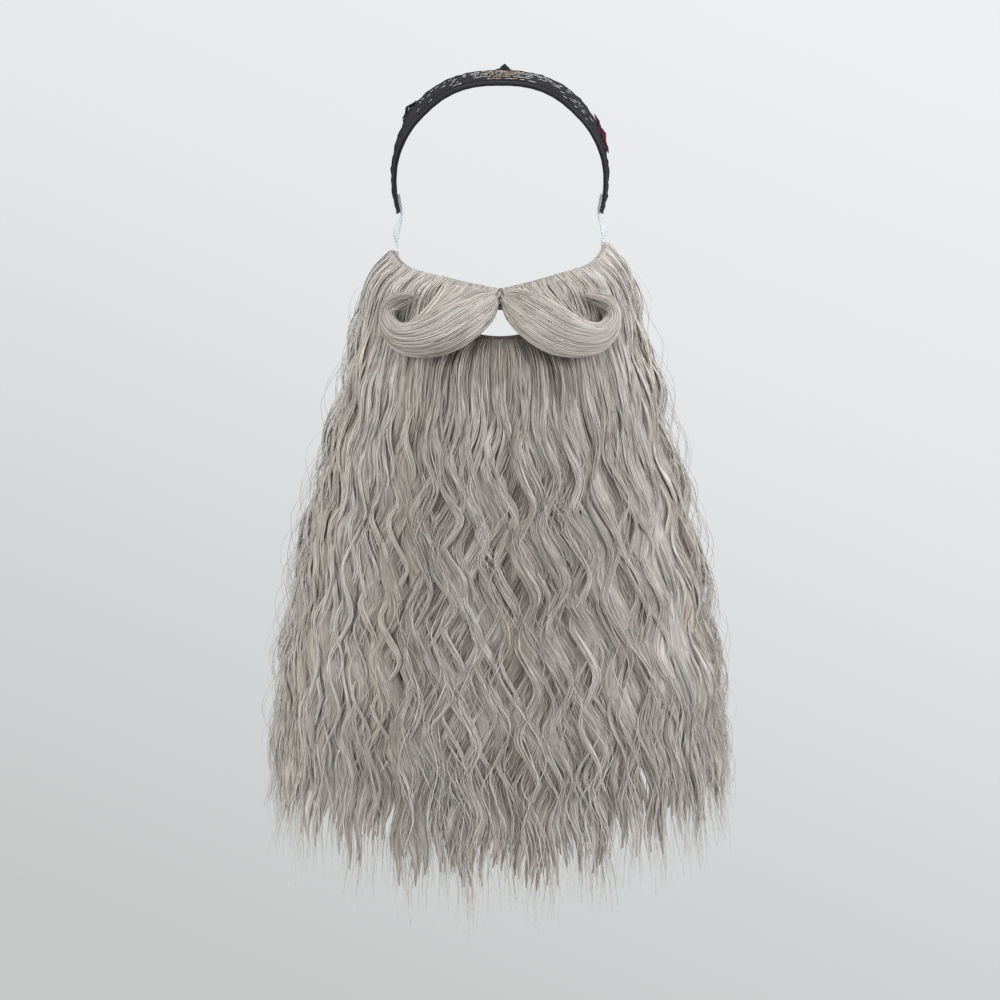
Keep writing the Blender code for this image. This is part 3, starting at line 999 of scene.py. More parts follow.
def wander(rng: np.random.Generator, count: int, rings: int, waves: float) -> Floats:
    """Slow random curves.

    Args:
        rng: The random numbers.
        count: How many curves.
        rings: How many points each has.
        waves: About how many times each rises and falls.

    Returns:
        Values from about -1 to 1, of shape (count, rings).
    """
    down = np.linspace(0, 2 * np.pi, rings)
    total = np.zeros((count, rings))
    for turns, size in ((0.6, 0.5), (1.0, 0.35), (1.7, 0.25)):
        start = rng.random((count, 1)) * 2 * np.pi
        pace = waves * turns * (0.8 + 0.4 * rng.random((count, 1)))
        total += size * np.sin(pace * down + start)
    return total


def fuzz(rng: np.random.Generator, count: int, rings: int, size: float) -> Floats:
    """Fine random bends, a little smoothed.

    Args:
        rng: The random numbers.
        count: How many strands.
        rings: How many points each has.
        size: How far a bend goes.

    Returns:
        Values of shape (count, rings).
    """
    raw = rng.normal(0, size, (count, rings + 2))
    return (raw[:, :-2] + 2 * raw[:, 1:-1] + raw[:, 2:]) / 2.45


def thinning(rings: int, root: float = 0.08, tip: float = 0.3) -> Floats:
    """How a strand thins towards both its ends, as shares of its width.

    Args:
        rings: How many points it has.
        root: The share of its length that it grows over.
        tip: The share of its length that it thins over.

    Returns:
        One value for each point.
    """
    down = np.linspace(0, 1, rings)
    return np.clip(np.minimum(down / root, (1 - down) / tip), 0.12, 1) ** 0.6


class Layer(Enum):
    """How deep in the hair a set of locks lies."""

    UNDER = "underhair"
    WAVES = "waves"
    STRANDS = "strands"


@dataclass
class HairMass:
    """One mass of hair: close under-locks, waved wisps over them and loose strands."""

    region: Region
    seed: int
    wisps: int
    loose: int
    edge: int
    tips: int
    flyaways: int
    under_across: int = 20
    under_half: tuple[float, float] = (8.8 * MM, 4.2 * MM)
    wisp_half: tuple[float, float] = (1.6 * MM, 4.2 * MM)
    wisp_strands: int = 5
    swing: tuple[float, float] = (6.5 * MM, 9.5 * MM)
    wave_length: float = 68 * MM
    inner: int = 55
    strand_half: tuple[float, float] = (0.2 * MM, 0.36 * MM)
    wisp_strand_half: tuple[float, float] = (0.24 * MM, 0.5 * MM)
    edge_lean: float = 9 * MM
    # How much lighter the hair is at its tips, and the painted light at its top and towards the
    # ears
    tip_light: float = 0.44
    painted_chin_top_light: float = 0.08
    painted_cheek_top_light: float = 0.6
    painted_side_light: float = 0.27
    tip_fade: float = 200 * MM
    top_fade: float = 110 * MM
    whole: TubeMesh = field(init=False)
    rng: np.random.Generator = field(init=False)

    def __post_init__(self) -> None:
        """Seed the random numbers."""
        self.rng = np.random.default_rng(self.seed)

    def build(self, material: bpy.types.Material) -> list[bpy.types.Object]:
        """Make the pieces of this mass.

        Args:
            material: The hair's material.

        Returns:
            The pieces.
        """
        makers = {
            Layer.UNDER: self._under_locks,
            Layer.WAVES: self._waved_wisps,
            Layer.STRANDS: self._loose_strands,
        }
        pieces = []
        for layer, maker in makers.items():
            self.whole = TubeMesh(self.seed + len(pieces))
            maker()
            mesh = self.whole.build(f"{self.region.node}_{layer.value}")
            pieces.append(register(mesh, [material], [self.region.node]))
        return pieces

    def _between(self, low: float, high: float, count: int) -> Floats:
        """Random values between two limits."""
        return low + (high - low) * self.rng.random(count)

    def _shares(self, count: int, disorder: float = 0.45, shift: float = 0.5) -> Floats:
        """Evenly spread shares with a little disorder, in random order.

        Args:
            count: How many.
            disorder: How far one may leave its place, as a share of a step.
            shift: Where in its step each one's place is.

        Returns:
            The shares.
        """
        first, last = self.region.span
        step = (last - first) / count
        steps = np.arange(count) + shift + self._between(-disorder, disorder, count)
        return self.rng.permutation(np.clip(first + step * steps, -1.0, 1.0))

    def _liveliness(self, share: Floats) -> Floats:
        """How strongly the hair waves: full in front and softer towards the ears."""
        return 1.0 - 0.3 * np.clip((np.abs(share) - 0.45) / 0.45, 0, 1)

    def _puff(self, share: Floats) -> Floats:
        """How far the waves stand out at the ears, where they show at the outline."""
        return 4.5 * MM * np.clip((np.abs(share) - 0.5) / 0.45, 0, 1)

    def _guides(self, share: Floats, **values: Floats | float) -> Guides:
        """Guides with plain values except where given.

        Args:
            share: Where each lies.
            **values: Any other values of the guides.

        Returns:
            The guides.
        """
        count = len(share)
        plain = {
            "start": PLAN.top(self.region, share),
            "end": PLAN.tip(share),
            "swing": 7 * MM * self._liveliness(share),
            "phase": self.rng.normal(0, 0.2, count),
            "wave_length": self.wave_length,
            "depth": 0.0,
            "sink": 0.0,
            "weave": 0.0,
            "dive": 0.0,
        }
        bends = {key: values.pop(key, np.zeros((count, 1))) for key in ("aside", "rough")}
        plain.update(values)
        full = {key: np.broadcast_to(np.asarray(v, float), (count,)) for key, v in plain.items()}
        return Guides(share=share, **full, **bends)

    def _astray(self, count: int, rings: int, drift: float, bend: float) -> Floats:
        """Sideways paths that wander off slowly and bend finely.

        Args:
            count: How many strands.
            rings: How many points each has.
            drift: How far they wander by their ends.
            bend: How far a fine bend goes.

        Returns:
            Values of shape (count, rings).
        """
        down = np.linspace(0, 1, rings)
        away = self.rng.normal(0, drift, (count, 1)) * down**1.5
        return away + fuzz(self.rng, count, rings, bend)

    def _tubes(
        self,
        guides: Guides,
        rings: int,
        sides: int,
        half_width: Floats,
        half_depth: Floats,
        tone: Floats,
        rib: float = 0.0,
        ease: float = 1.0,
    ) -> Tubes:
        """Turn guides into tubes, kept within the hair's thickness, lighter at the tips and with
        painted light at the top and towards the ears.

        Args:
            guides: The guides.
            rings: How many rings each has.
            sides: How many sides a ring has.
            half_width: Half the width at each ring.
            half_depth: Half the depth at each ring.
            tone: How light each one is, or each of its rings.
            rib: How much the corners of a ring vary.
            ease: Above 1, the rings lie closer together near the start.

        Returns:
            The tubes.
        """
        centres, outs, thick = PLAN.follow(self.region, guides, rings, ease)
        count = len(guides.share)
        ribs = None
        if rib:
            slow = np.stack([wander(self.rng, count, rings, 3.0) for _ in range(sides)], axis=2)
            ribs = 1 + rib * (slow + self.rng.normal(0, 0.6, (count, 1, sides)))
        share = guides.share[:, None]
        z = centres[..., 2]
        near_tip = (PLAN.tip(share) + self.tip_fade - z) / self.tip_fade
        near_top = 1 - (PLAN.top(self.region, share) - z) / self.top_fade
        chin = self.region is Region.CHIN
        light = self.tip_light * np.clip(near_tip, 0, 1)
        # Painted light: the hair is made lighter near its top and towards the ears.
        painted_top_light = self.painted_chin_top_light if chin else self.painted_cheek_top_light
        light = light + painted_top_light * np.clip(near_top, 0, 1)
        light = light + self.painted_side_light * np.clip((np.abs(share) - 0.25) / 0.5, 0, 1)
        warmth = 0.4 + 0.25 * np.sin(17 * guides.share + 1.0) + self.rng.normal(0, 0.2, count)
        return Tubes(
            centres,
            outs,
            half_width,
            np.minimum(half_depth, 0.42 * thick),
            sides,
            np.clip(tone.reshape(count, -1) + light, 0, 1),
            np.clip(warmth, 0, 1),
            ribs,
        )

    def _under_locks(self) -> None:
        """Broad ribbed locks in three rows that fill the mass, in dark tones as painted shade."""
        rings, sides, count = 36, 8, self.under_across
        down = np.linspace(0, 1, rings)
        # Each row: depth, sink, tone and shift; the low tones are painted shade under the surface
        # hair.
        rows = ((0.0, 5.5 * MM, 0.24, 0.5), (0.5, 0.0, 0.22, 0.17), (1.0, 5 * MM, 0.28, 0.83))
        for depth, sink, light, shift in rows:
            share = self._shares(count, 0.22, shift)
            guides = self._guides(
                share,
                depth=depth,
                sink=sink,
                end=PLAN.tip(share) + self._between(8 * MM, 46 * MM, count),
                weave=1.2 * MM + 0.7 * self._puff(share),
            )
            narrowing = 1 - 0.95 * np.clip((down - 0.70) / 0.30, 0, 1) ** 1.4
            spread = 0.66 + 0.34 * np.clip(down * 2.2, 0, 1)
            shape = narrowing * spread * (1 + 0.18 * wander(self.rng, count, rings, 3))
            shape = shape * (1 - 0.35 * np.clip((np.abs(share) - 0.85) / 0.1, 0, 1))[:, None]
            tone = light + self.rng.normal(0, 0.05, (count, 1))
            tone = tone + 0.09 * wander(self.rng, count, rings, 5)
            width, thickness = self.under_half
            sizes = (width * shape, thickness * shape)
            self.whole.add(self._tubes(guides, rings, sides, *sizes, tone, 0.12))

    def _waved_wisps(self) -> None:
        """S-shaped wisps on the surface: a flat ribbon under strands that fan and meet."""
        rings, count = 76, self.wisps
        share = self._shares(count)
        top = PLAN.top(self.region, share)
        lively = self._liveliness(share)
        guides = self._guides(
            share,
            start=top - self._between(0, 30 * MM, count),
            end=PLAN.tip(share) + self._between(6 * MM, 92 * MM, count),
            swing=self._between(*self.swing, count) * lively,
            phase=self.rng.normal(0, 0.3, count),
            wave_length=self.wave_length * (1 + self.rng.normal(0, 0.03, count)),
            sink=self._between(0.4 * MM, 2.2 * MM, count),
            weave=self._between(0.5 * MM, 1.5 * MM, count) + self._puff(share),
            aside=self._astray(count, rings, 6 * MM, 0.12 * MM),
            dive=3.2 * MM,
        )
        down = np.linspace(0, 1, rings)
        ends = np.clip(down / 0.12, 0.25, 1) * (1 - 0.93 * np.clip((down - 0.62) / 0.38, 0, 1))
        body = 0.62 + 0.38 * wander(self.rng, count, rings, 4)
        half = self._between(*self.wisp_half, count)[:, None] * np.maximum(ends * body, 0.08)
        light = self._between(0.28, 0.66, count)
        tone = light[:, None] + 0.08 * wander(self.rng, count, rings, 6)
        self.whole.add(self._tubes(guides, rings, 6, half, half * 0.24, tone, 0.14))
        rows = 60
        steps, fine = np.linspace(0, 1, rings), np.linspace(0, 1, rows)
        fan, path = (
            np.stack([np.interp(fine, steps, line) for line in lines])
            for lines in (half, guides.aside)
        )
        for k in range(self.wisp_strands):
            place = 2.2 * (k + 0.5) / self.wisp_strands - 1.1
            place = place + self.rng.normal(0, 0.12, (count, 1))
            beside = replace(
                guides,
                aside=path + fan * place * 1.15 + fuzz(self.rng, count, rows, 0.22 * MM),
                rough=-fan * 0.24 * np.sqrt(np.clip(1.1 - place**2, 0, 1))
                + fuzz(self.rng, count, rows, 0.15 * MM),
                phase=guides.phase + self.rng.normal(0, 0.06, count),
                start=guides.start - self._between(-2 * MM, 30 * MM, count),
                end=guides.end - self._between(-20 * MM, 24 * MM, count),
            )
            thick = self._between(*self.wisp_strand_half, count)[:, None] * thinning(rows)
            # Painted highlight: the strands over a wisp are lighter than its ribbon, and lighter
            # still at its edges.
            edge = 0.16 * np.abs(place[:, 0])
            bright = light + edge + self.rng.normal(0.22, 0.13, count)
            self.whole.add(self._tubes(beside, rows, 3, thick * 1.25, thick, bright))

    def _loose_strands(self) -> None:
        """Single strands: on both faces, over the top edge, at the tips and flying off."""
        self._strand_set(self.loose, (-1.0 * MM, 3.6 * MM), (0.28, 0.72), 0.0)
        # The strands of the inner face get darker tones, as painted shade.
        self._strand_set(self.inner, (-0.8 * MM, 2.0 * MM), (0.2, 0.5), 1.0)
        self._edge_strands()
        self._tip_strands()
        self._flyaway_strands()

    def _strand_set(
        self,
        count: int,
        sink: tuple[float, float],
        light: tuple[float, float],
        depth: Floats | float,
    ) -> None:
        """Strands spread over one face of the hair, some down its ends at the ears.

        Args:
            count: How many.
            sink: The least and most that they lie under the face.
            light: The darkest and lightest tone; those that lie deep are painted darker, as shade.
            depth: 0 for the outer face and 1 for the inner one.
        """
        rings = 32
        share = self._shares(count)
        if depth > 0.5 and self.region is not Region.CHIN:
            at_ear = self.rng.random(count) < 0.45
            share = np.where(at_ear, math.copysign(1, share[0]) * 0.995, share)
            depth = np.where(at_ear, self.rng.random(count), depth)
        top, tip = PLAN.top(self.region, share), PLAN.tip(share)
        low = np.where(self.rng.random(count) < 0.2, 0.0, self.rng.random(count))
        start = top + (tip + 90 * MM - top) * low
        jaw = PLAN.jaw_bottom(np.sin(share * np.pi / 2))
        start = np.where((depth > 0.5) & (np.abs(share) < 0.99), np.minimum(start, jaw), start)
        under = self.rng.random(count)
        guides = self._guides(
            share,
            start=start,
            end=np.maximum(start - self._between(120 * MM, 220 * MM, count), tip - 6 * MM),
            swing=self._between(0.6, 1.15, count) * 8 * MM * self._liveliness(share),
            phase=self.rng.normal(0, 0.2, count),
            wave_length=self.wave_length * (1 + self.rng.normal(0, 0.02, count)),
            sink=sink[0] + (sink[1] - sink[0]) * under,
            weave=self._between(0, 1.2 * MM, count) + self._puff(share) * (1 - depth),
            aside=self._astray(count, rings, 5 * MM, 0.4 * MM),
            rough=fuzz(self.rng, count, rings, 0.25 * MM),
            dive=1.6 * MM,
            depth=depth,
        )
        thick = self._between(*self.strand_half, count)[:, None] * thinning(rings)
        # Painted shade: the deeper a strand lies, the darker it is.
        tone = light[1] + (light[0] - light[1]) * under + self.rng.normal(0, 0.08, count)
        self.whole.add(self._tubes(guides, rings, 3, thick * 1.2, thick, tone))

    def _edge_strands(self) -> None:
        """Short hair that rolls out over the top edge and hides it."""
        rings, count = 13, self.edge
        share = self._shares(count)
        top = PLAN.top(self.region, share) - self._between(-0.6 * MM, 0.6 * MM, count)
        leaning = np.sign(share) * self.edge_lean * np.clip((1 - np.abs(share)) / 0.3, 0, 1)
        if self.region is Region.CHIN:
            leaning = leaning * 0
        lean = leaning[:, None] * np.linspace(0, 1, rings) ** 1.3
        guides = self._guides(
            share,
            end=top - self._between(26 * MM, 75 * MM, count),
            sink=self._between(-0.5 * MM, 0.7 * MM, count),
            aside=lean + self._astray(count, rings, 2.5 * MM, 0.15 * MM),
            dive=0.2 * MM,
        )
        thick = self._between(0.2 * MM, 0.34 * MM, count)[:, None] * thinning(rings, 0.01, 0.5)
        tone = self._between(0.24, 0.62, count)
        tubes = self._tubes(guides, rings, 3, thick * 2.4, thick, tone, ease=1.6)
        over = 0.4 * MM if self.region is Region.CHIN else 1.4 * MM
        first, facing = tubes.centres[:, 0].copy(), tubes.outs[:, 0].copy()
        for ring, outward, rise in ((0, -3.4, -0.9), (1, -1.7, 0.8), (2, 0.3, 0.5)):
            tubes.centres[:, ring] = first + facing * outward * MM
            tubes.centres[:, ring, 2] = top + rise * over
        tubes.outs[:, 0] = -tubes.outs[:, 0] * 0.2 + np.array([0, 0, 1.0])
        tubes.outs[:, 1] = tubes.outs[:, 1] * 0.4 + np.array([0, 0, 1.0])
        tubes.outs[:, 2] = tubes.outs[:, 2] + np.array([0, 0, 0.6])
        tubes.outs = normalised(tubes.outs)
        self.whole.add(tubes)

    def _tip_strands(self) -> None:
        """Thin straight strands that hang past the locks' tips."""
        rings, count = 15, self.tips
        share = self._shares(count)
        tip = PLAN.tip(share)
        guides = self._guides(
            share,
            start=tip + self._between(50 * MM, 130 * MM, count),
            end=tip - self._between(-35 * MM, 20 * MM, count),
            swing=self._between(2 * MM, 8 * MM, count),
            weave=self._puff(share) * 0.7,
            phase=self.rng.normal(0, 0.6, count),
            sink=self._between(-1 * MM, 6 * MM, count),
            aside=self._astray(count, rings, 8 * MM, 0.4 * MM),
            dive=0.6 * MM,
        )
        thick = self._between(0.24 * MM, 0.42 * MM, count)[:, None] * thinning(rings, tip=0.6)
        tone = self._between(0.3, 0.7, count)
        self.whole.add(self._tubes(guides, rings, 3, thick * 1.1, thick * 0.9, tone))

    def _flyaway_strands(self) -> None:
        """Stray strands that stand off the surface, mostly towards the ears."""
        rings, count = 32, self.flyaways
        share = self._shares(count)
        if self.region is not Region.CHIN:
            outer = math.copysign(1, share[0]) * self._between(0.72, 1.0, count)
            share = np.where(self.rng.random(count) < 0.75, outer, share)
        start = PLAN.top(self.region, share) - self._between(10 * MM, 210 * MM, count)
        guides = self._guides(
            share,
            start=start,
            end=np.maximum(start - self._between(130 * MM, 230 * MM, count), PLAN.tip(share)),
            swing=self._between(6 * MM, 12 * MM, count),
            phase=self.rng.normal(0, 0.9, count),
            sink=-self._between(1 * MM, 10 * MM, count),
            weave=self._between(0.5 * MM, 2.5 * MM, count) + 0.8 * self._puff(share),
            aside=self._astray(count, rings, 7 * MM, 0.5 * MM),
            rough=fuzz(self.rng, count, rings, 0.4 * MM),
            dive=6 * MM,
        )
        thick = self._between(0.17 * MM, 0.27 * MM, count)[:, None] * thinning(rings)
        tone = self._between(0.4, 0.8, count)
        self.whole.add(self._tubes(guides, rings, 3, thick, thick, tone))


# ---------------- the moustache


@dataclass
class Bundle:
    """A bundle of combed hair: its centre line, the way it faces and its half sizes."""

    centres: Floats
    outs: Floats
    half_width: Floats
    half_depth: Floats

    def surface(self, at: Floats, turn: Floats, rise: Floats) -> tuple[Floats, Floats]:
        """Points on or near the surface.

        Args:
            at: Where along the bundle each point lies, from 0 to 1.
            turn: The angle round it.
            rise: How far from the centre, as a share of the surface's distance.

        Returns:
            The points and the way that the surface faces there.
        """
        along = normalised(np.gradient(self.centres, axis=0))
        broad = normalised(np.cross(along, self.outs))
        deep = np.cross(broad, along)
        index, steps = at * (len(along) - 1), np.arange(len(along))
        point, wide, high = (
            np.stack([np.interp(index, steps, column) for column in values.T], axis=-1)
            for values in (self.centres, broad, deep)
        )
        across = np.interp(index, steps, self.half_width) * np.cos(turn) * rise
        up = np.interp(index, steps, self.half_depth) * np.sin(turn) * rise
        facing = wide * np.cos(turn)[..., None] + high * np.sin(turn)[..., None]
        return point + wide * across[..., None] + high * up[..., None], normalised(facing)


@dataclass
class MoustacheHalf:
    """One half of the moustache: a combed bundle that sweeps out and curls up at its tip."""

    side: Side
    seed: int
    steps: int = 12
    sides: int = 64
    strands: int = 190
    roots: int = 185
    wisps: int = 30
    ridge: float = 0.09
    root_span: float = 37 * MM
    root_crowding: float = 1.35
    parting: float = 11 * MM
    clearance: float = 0.8 * MM
    backing_wall: float = 2 * MM
    rng: np.random.Generator = field(init=False)

    def __post_init__(self) -> None:
        """Seed the random numbers."""
        self.rng = np.random.default_rng(self.seed)

    def build(self, material: bpy.types.Material) -> bpy.types.Object:
        """Make the piece.

        Args:
            material: The combed hair's material.

        Returns:
            The piece.
        """
        whole = TubeMesh(self.seed)
        bundle = self._bundle()
        for maker in (self._core, self._surface_strands, self._root_strands, self._wisps):
            whole.add(maker(bundle))
        mesh = whole.build(f"moustache_{self.side.word}_hair")
        return register(mesh, [material], [f"moustache_{self.side.word}"])

    def _bundle(self) -> Bundle:
        """The bundle on the solid's own path."""
        rows = SmoothTable(MOUSTACHE_STATIONS, self.steps).rows
        points, outs = [], []
        for across, z, _, half_thickness, over_hair in rows:
            lift = half_thickness * (1 + self.ridge) + self.clearance
            point, out = self._above_beard(across, z, over_hair, lift)
            points.append(point)
            outs.append(out)
        mirror = np.array([self.side.sign, 1, 1])
        return Bundle(np.array(points) * mirror, np.array(outs) * mirror, rows[:, 2], rows[:, 3])

    def _above_beard(
        self, across: float, z: float, over_hair: float, lift: float
    ) -> tuple[Floats, Floats]:
        """A point lifted off the backing, or off the hair on it.

        Args:
            across: How far it is from the middle.
            z: Its level.
            over_hair: 0 over the bare backing and 1 over the hair.
            lift: How far it is lifted.

        Returns:
            The point and the way that it is lifted.
        """
        flat_oval = BACKING_CURVE.read(z)
        full_oval = HAIR_CURVE.read(z)[:2]
        place = across
        for _ in range(4):
            flat, flat_out = self._oval_ahead(place, *flat_oval)
            full, full_out = self._oval_ahead(place, *full_oval)
            flat = flat + flat_out * self.backing_wall
            out = normalised(flat_out + (full_out - flat_out) * over_hair)
            point = flat + (full - flat) * over_hair + out * lift
            place += across - point[0]
        point[2] = z
        return point, out

    def _oval_ahead(self, across: float, half_width: float, depth: float) -> tuple[Floats, Floats]:
        """The point of a half-oval plan straight ahead of a place, and the way it faces."""
        sine = min(across / half_width, 0.98)
        cosine = math.sqrt(1 - sine * sine)
        point = np.array([across, PLAN.side_y - depth * cosine, 0.0])
        return point, normalised(np.array([sine / half_width, -cosine / depth, 0.0]))

    def _core(self, bundle: Bundle) -> Tubes:
        """The bundle itself, with fine grooves between its locks.

        Args:
            bundle: The bundle.

        Returns:
            One tube.
        """
        rings = len(bundle.centres)
        turn = np.arange(self.sides) / self.sides * 2 * np.pi
        down = np.linspace(0, 1, rings)[:, None]
        sway = 0.9 * np.sin(2.6 * down + self.rng.random() * 6)
        ribs = np.ones((rings, self.sides))
        for waves, size in ((7, 0.035), (13, 0.025), (23, 0.02)):
            start = self.rng.random() * 2 * np.pi
            ribs = ribs + size * np.sin(waves * turn + start + sway * waves / 12)
        wide, deep = bundle.half_width[None], bundle.half_depth[None]
        # Painted shade: the core is darker over its first tenth or so, at its inner end under the
        # nose.
        tone = (0.52 - 0.2 * np.exp(-down.T / 0.1)) * np.ones((1, rings))
        return Tubes(
            bundle.centres[None],
            bundle.outs[None],
            wide * 0.95,
            deep * 0.95,
            self.sides,
            tone,
            np.array([0.4]),
            ribs[None],
        )

    def _strand_look(self, count: int, rings: int, tip: float) -> tuple[Floats, Floats, Floats]:
        """Half thickness, tone and warmth of fine strands.

        Args:
            count: How many strands.
            rings: How many points each has.
            tip: The share of its length that a strand thins over.

        Returns:
            The three sets of values.
        """
        half = (0.22 + 0.16 * self.rng.random((count, 1))) * MM * thinning(rings, 0.05, tip)
        tone = np.clip(0.36 + 0.64 * self.rng.random(count), 0, 1)
        return half, tone, np.clip(0.4 + self.rng.normal(0, 0.2, count), 0, 1)

    def _surface_strands(self, bundle: Bundle) -> Tubes:
        """Combed strands that lie along the bundle.

        Args:
            bundle: The bundle.

        Returns:
            The strands.
        """
        rings, count, rng = 28, self.strands, self.rng
        down = np.linspace(0, 1, rings)
        start = np.where(rng.random(count) < 0.45, 0.0, rng.random(count) * 0.6)
        end = np.minimum(start + 0.3 + 0.6 * rng.random(count), 1.0)
        at = start[:, None] + (end - start)[:, None] * down
        turn = 2 * np.pi * (np.arange(count) + rng.random(count)) / count
        turn = turn[:, None] + rng.normal(0, 0.2, (count, 1)) * down
        rise = 1.0 + 0.05 * rng.random((count, 1)) + 0.04 * wander(rng, count, rings, 1.5)
        rise = rise - 0.10 * np.exp(-down / 0.05) - 0.10 * np.exp(-(1 - down) / 0.08)
        points, facing = bundle.surface(at, turn, rise)
        half, tone, warmth = self._strand_look(count, rings, 0.2)
        return Tubes(points, facing, half * 1.3, half, 3, tone, warmth)

    def _root_strands(self, bundle: Bundle) -> Tubes:
        """Strands that start along the backing's top edge and sweep down into the bundle.

        Args:
            bundle: The bundle.

        Returns:
            The strands.
        """
        rings, count, rng = 20, self.roots, self.rng
        down = np.linspace(0, 1, rings)
        along = (np.arange(count) + rng.random(count)) / count
        across = 0.2 * MM + self.root_span * along**self.root_crowding
        parted = across < self.parting
        lower = parted & (rng.random(count) < 0.45)
        across = np.where(lower, (3.4 * rng.random(count) - 2.2) * MM, across)
        half_width, depth = BACKING_SECTIONS[1][1:]
        sine = across / (half_width + self.backing_wall)
        level = PLAN.cheek_top(sine * self.side.sign) - lower * (1 + 13 * rng.random(count)) * MM
        far = depth + self.backing_wall + 0.9 * MM
        edge = np.stack(
            [across * self.side.sign, PLAN.side_y - far * np.sqrt(1 - sine**2), level + 0.6 * MM],
            axis=-1,
        )
        away = np.where(
            parted[:, None], np.array([[20 * MM, -4 * MM, -22 * MM]]), np.array([[5, -3, -14]]) * MM
        ) * np.array([self.side.sign, 1, 1])
        edge = edge[:, None] + down[:, None] * away[:, None]
        reach = np.interp(across, np.abs(bundle.centres[:, 0])[:60], np.linspace(0, 1, 60) * 0.55)
        reach = reach + parted * (0.02 + 0.05 * rng.random(count))
        last = reach + 0.25 + 0.3 * rng.random(count)
        at = np.clip(reach[:, None] + (last - reach)[:, None] * down, 0, 1)
        tilt = 0.15 + 1.35 * rng.random((count, 1)) ** 0.8
        tilt = np.where(parted[:, None], 0.9 - 1.5 * rng.random((count, 1)), tilt)
        tilt = np.where(lower[:, None], -0.35 - 1.15 * rng.random((count, 1)), tilt)
        turn = np.pi / 2 + self.side.sign * tilt
        rise = 1.03 + 0.05 * rng.random((count, 1)) + 0.02 * wander(rng, count, rings, 1.5)
        points, facing = bundle.surface(at, turn, rise)
        share = np.clip(down / 0.42, 0, 1)
        share = (share * share * (3 - 2 * share))[:, None]
        points = edge + (points - edge) * share
        front = np.array([0, -1.0, 0.25])
        facing = normalised(front + (facing - front) * share)
        points[:, 0] += np.array([0, 2.0 * MM, -0.8 * MM])
        points[:, 1] += np.array([0, 0.8 * MM, 0.5 * MM])
        half, tone, warmth = self._strand_look(count, rings, 0.3)
        return Tubes(points, facing, half * 1.7, half * 1.1, 3, tone, warmth)

    def _wisps(self, bundle: Bundle) -> Tubes:
        """Fine ends that leave the curl and fade beside its tip.

        Args:
            bundle: The bundle.

        Returns:
            The strands.
        """
        rings, count, rng = 20, self.wisps, self.rng
        down = np.linspace(0, 1, rings)
        at = 0.55 + 0.45 * down[None] * (0.82 + 0.18 * rng.random((count, 1)))
        turn = 2 * np.pi * rng.random((count, 1))
        rise = 0.95 + 1.1 * rng.random((count, 1)) * down**2
        points, facing = bundle.surface(at, turn, rise)
        tail = normalised(bundle.centres[-1] - bundle.centres[-8])
        points = points + tail * ((3 + 10 * rng.random((count, 1))) * MM * down**3)[..., None]
        half, tone, warmth = self._strand_look(count, rings, 0.5)
        return Tubes(points, facing, half, half, 3, tone, warmth)


# ---------------- the head band


